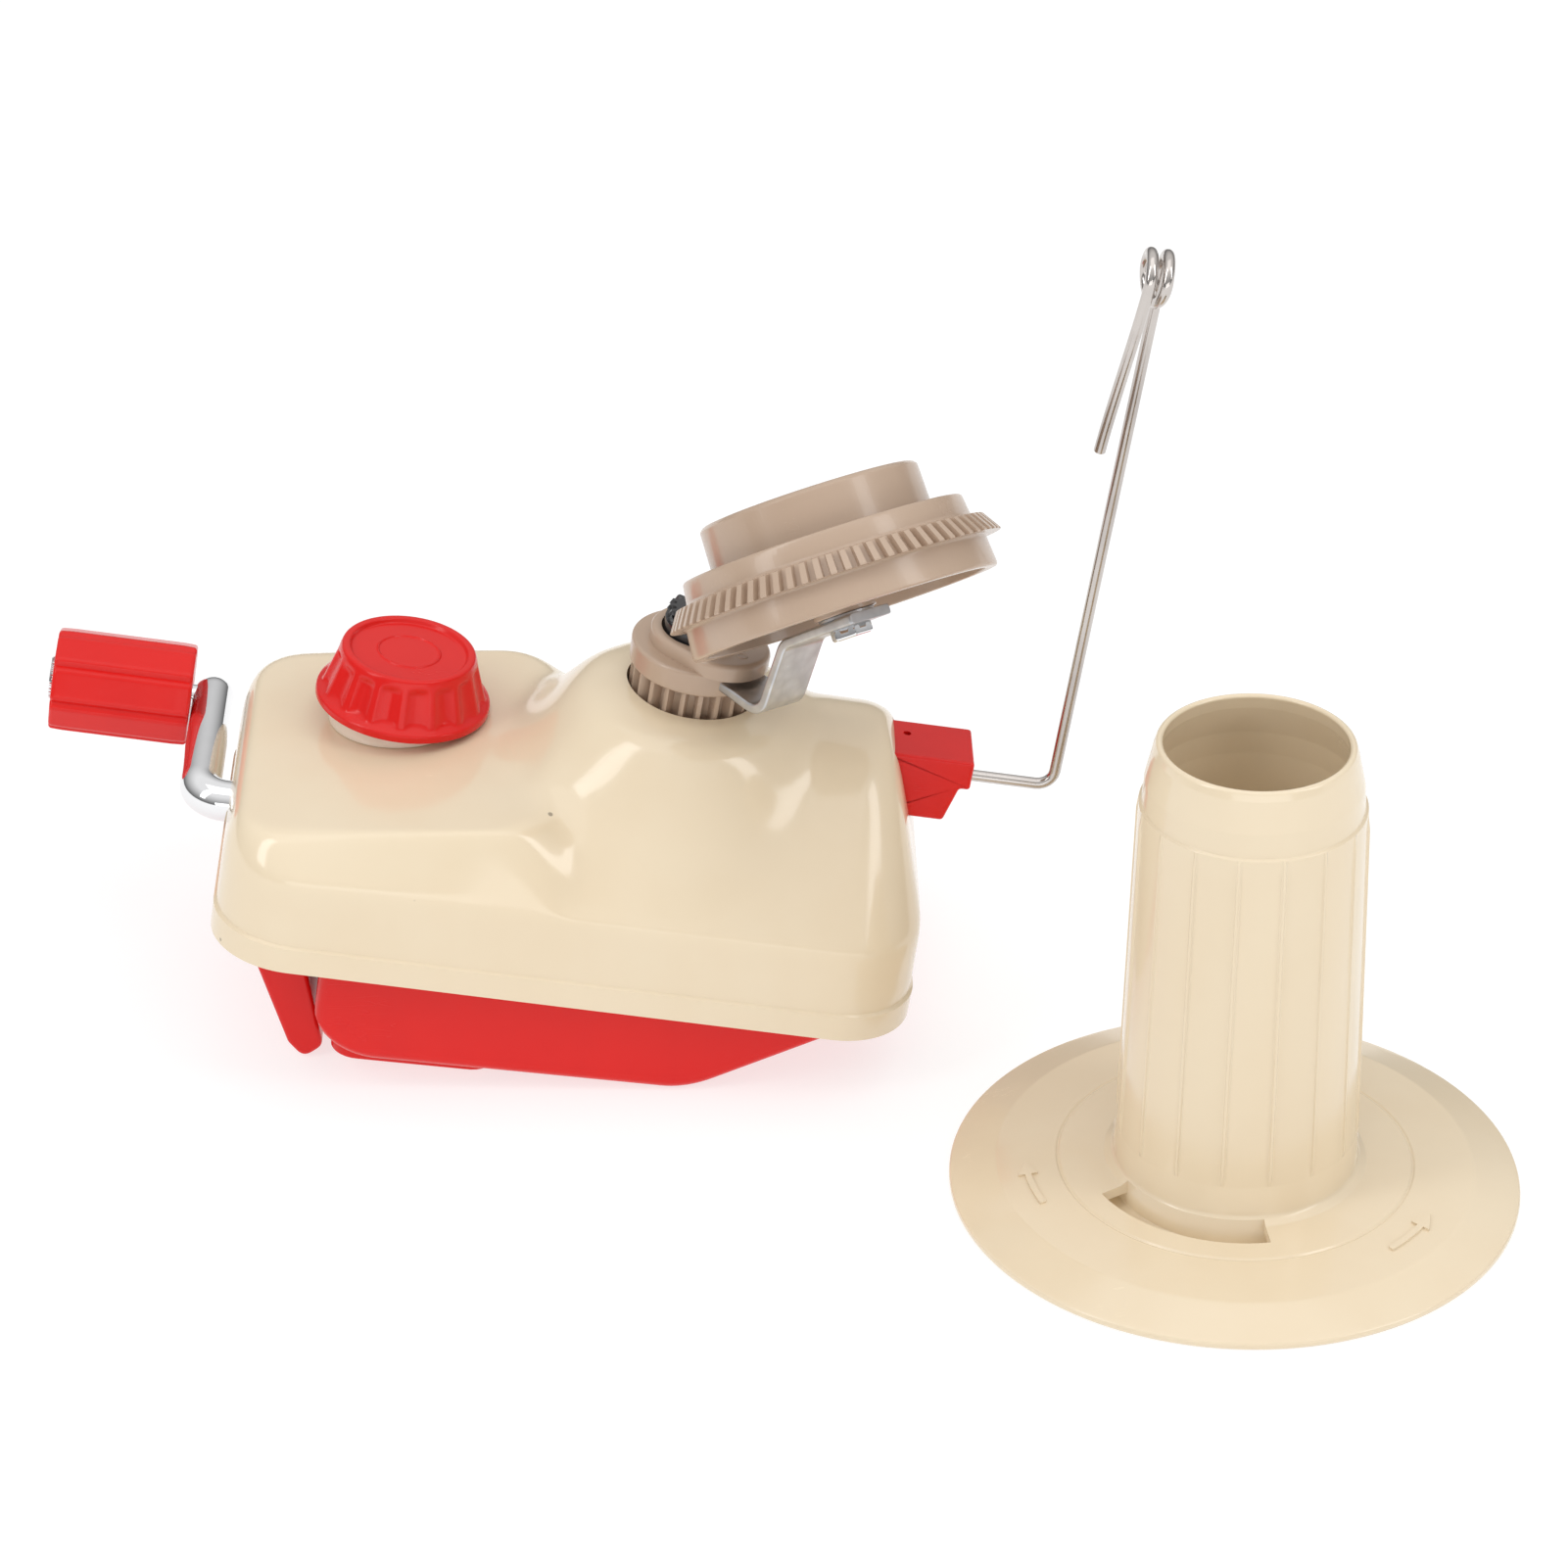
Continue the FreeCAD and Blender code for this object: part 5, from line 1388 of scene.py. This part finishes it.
# ---------------------------------------------------------------- studio
@dataclass
class Studio:
    """Pale floor, soft lights and the camera."""

    spool: Array
    lens: float = 120.8
    pitch: float = 30.76
    offset: tuple[float, float, float] = (-0.0869, -0.835, 0.5859)

    def floor(self) -> None:
        """Wide pale sheet that the object stands on."""
        x, y = np.meshgrid((-6000.0, 6000.0), (-6000.0, 6000.0))
        place = Place(np.zeros(3), np.array([1.0, 0, 0]), np.array([0, 1.0, 0]), np.array([0, 0, 1.0]))
        skin = Skin(place)
        skin.points.append(np.stack([x, y, np.full(x.shape, -0.05)], -1).reshape(-1, 3))
        skin.faces.append([0, 1, 3, 2])
        sheet = skin.build("floor")
        nodes = Nodes("floor_paper")
        tone = nodes.blend(nodes.noise(6.0), (0.36, 0.36, 0.36), (0.34, 0.34, 0.34))
        glow = {"Roughness": 0.9, "Emission Color": (1.0, 1.0, 1.0), "Emission Strength": 0.70}
        sheet.data.materials.append(nodes.finish(glow, {"Base Color": tone}))

    def lamp(self, name: str, where: Sequence[float], aim: Sequence[float], size: tuple[float, float],
             power: float) -> None:
        """Rectangular soft light.

        Args:
            name: its name.
            where: its place in metres.
            aim: the point that it faces.
            size: its width and height in metres.
            power: its power in watts.
        """
        data = bpy.data.lights.new(name, "AREA")
        data.shape, data.size, data.size_y, data.energy = "RECTANGLE", size[0], size[1], power
        light = bpy.data.objects.new(name, data)
        bpy.context.scene.collection.objects.link(light)
        light.location = where
        light.rotation_euler = (Vector(aim) - Vector(where)).to_track_quat("-Z", "Y").to_euler()

    def lights(self) -> None:
        """Overhead softbox, two side strips, a front fill and a white surround that brightens upwards."""
        world = bpy.data.worlds.new("studio")
        bpy.context.scene.world = world
        world.use_nodes = True
        nodes, links = world.node_tree.nodes, world.node_tree.links
        kinds = ("ShaderNodeTexCoord", "ShaderNodeSeparateXYZ", "ShaderNodeMapRange")
        spot, split, ramp = (nodes.new(kind) for kind in kinds)
        links.new(spot.outputs["Generated"], split.inputs[0])
        links.new(split.outputs["Z"], ramp.inputs["Value"])
        for key, value in zip(("From Min", "From Max", "To Min", "To Max"), (0.05, 0.75, 0.16, 0.92)):
            ramp.inputs[key].default_value = value
        links.new(ramp.outputs[0], nodes["Background"].inputs["Strength"])
        nodes["Background"].inputs["Color"].default_value = (1.0, 1.0, 1.0, 1.0)
        self.lamp("overhead", (0.0, -0.1, 1.1), (0, 0, 0), (1.0, 0.8), 1.5)
        self.lamp("left_strip", (-0.75, -0.45, 0.75), (0, 0, 0.05), (0.25, 0.9), 2.6)
        self.lamp("right_strip", (0.85, -0.35, 0.7), (0, 0, 0.05), (0.25, 0.9), 2.2)
        self.lamp("front_fill", (0.15, -1.5, 0.25), (0, 0, 0.08), (1.8, 0.4), 3.6)

    def camera(self) -> None:
        """Camera at the fitted distance and pitch, square to the row's y axis."""
        data = bpy.data.cameras.new("camera")
        data.lens, data.sensor_width, data.clip_end = self.lens, 36.0, 50.0
        camera = bpy.data.objects.new("camera", data)
        bpy.context.scene.collection.objects.link(camera)
        camera.location = Vector(self.spool) + Vector(self.offset)
        camera.rotation_euler = (radians(90.0 - self.pitch), 0.0, 0.0)
        bpy.context.scene.camera = camera

    def build(self) -> None:
        """Set the whole stage."""
        self.floor()
        self.lights()
        self.camera()
        scene = bpy.context.scene
        scene.view_settings.view_transform = "Standard"


def places() -> tuple[Place, Place, Place, Array, float]:
    """Work out the machine's, rotor's and spool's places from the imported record.

    Returns:
        The machine's place, the rotor's place, the spool's place, the direction from the spindle to the
        bracket, and the rotor's tilt.
    """
    crank_at, x = joint("crank_turn")
    z = joint("carrier_turn")[1]
    y = np.cross(z, x)
    machine = Place(crank_at - z * CRANK_HEIGHT * MM, x, y, z)
    centre, axis = joint("rotor_spin")
    tilt = float(np.arccos(np.clip(axis @ z, -1, 1)))
    out = unit(z * cos(tilt) - axis)
    high = out * cos(tilt) + z * sin(tilt)
    rotor = Place(centre, high, np.cross(axis, high), axis)
    low, top = (np.array(v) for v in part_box("spool"))
    middle = (low + top) / 2
    spool = Place(np.array([middle[0], middle[1], low[2]]), np.array([1.0, 0, 0]), np.array([0, 1.0, 0]),
                  np.array([0, 0, 1.0]))
    return machine, rotor, spool, out, tilt


def main() -> None:
    """Build every sub-assembly in order."""
    logging.basicConfig(level=logging.INFO, format="%(name)s: %(message)s")
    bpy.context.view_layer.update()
    machine, rotor, spool, out, tilt = places()
    share = SUN_TEETH / ROTOR_TEETH
    cone = atan2(sin(tilt), share + cos(tilt))
    Housing(machine).build()
    Clamp(machine).build()
    Crank(machine).build()
    Carrier(machine, out, rotor, tilt).build()
    Rotor(rotor, cone=cone).build()
    Spool(spool).build()
    Studio(spool.origin).build()


if __name__ == "__main__":
    main()
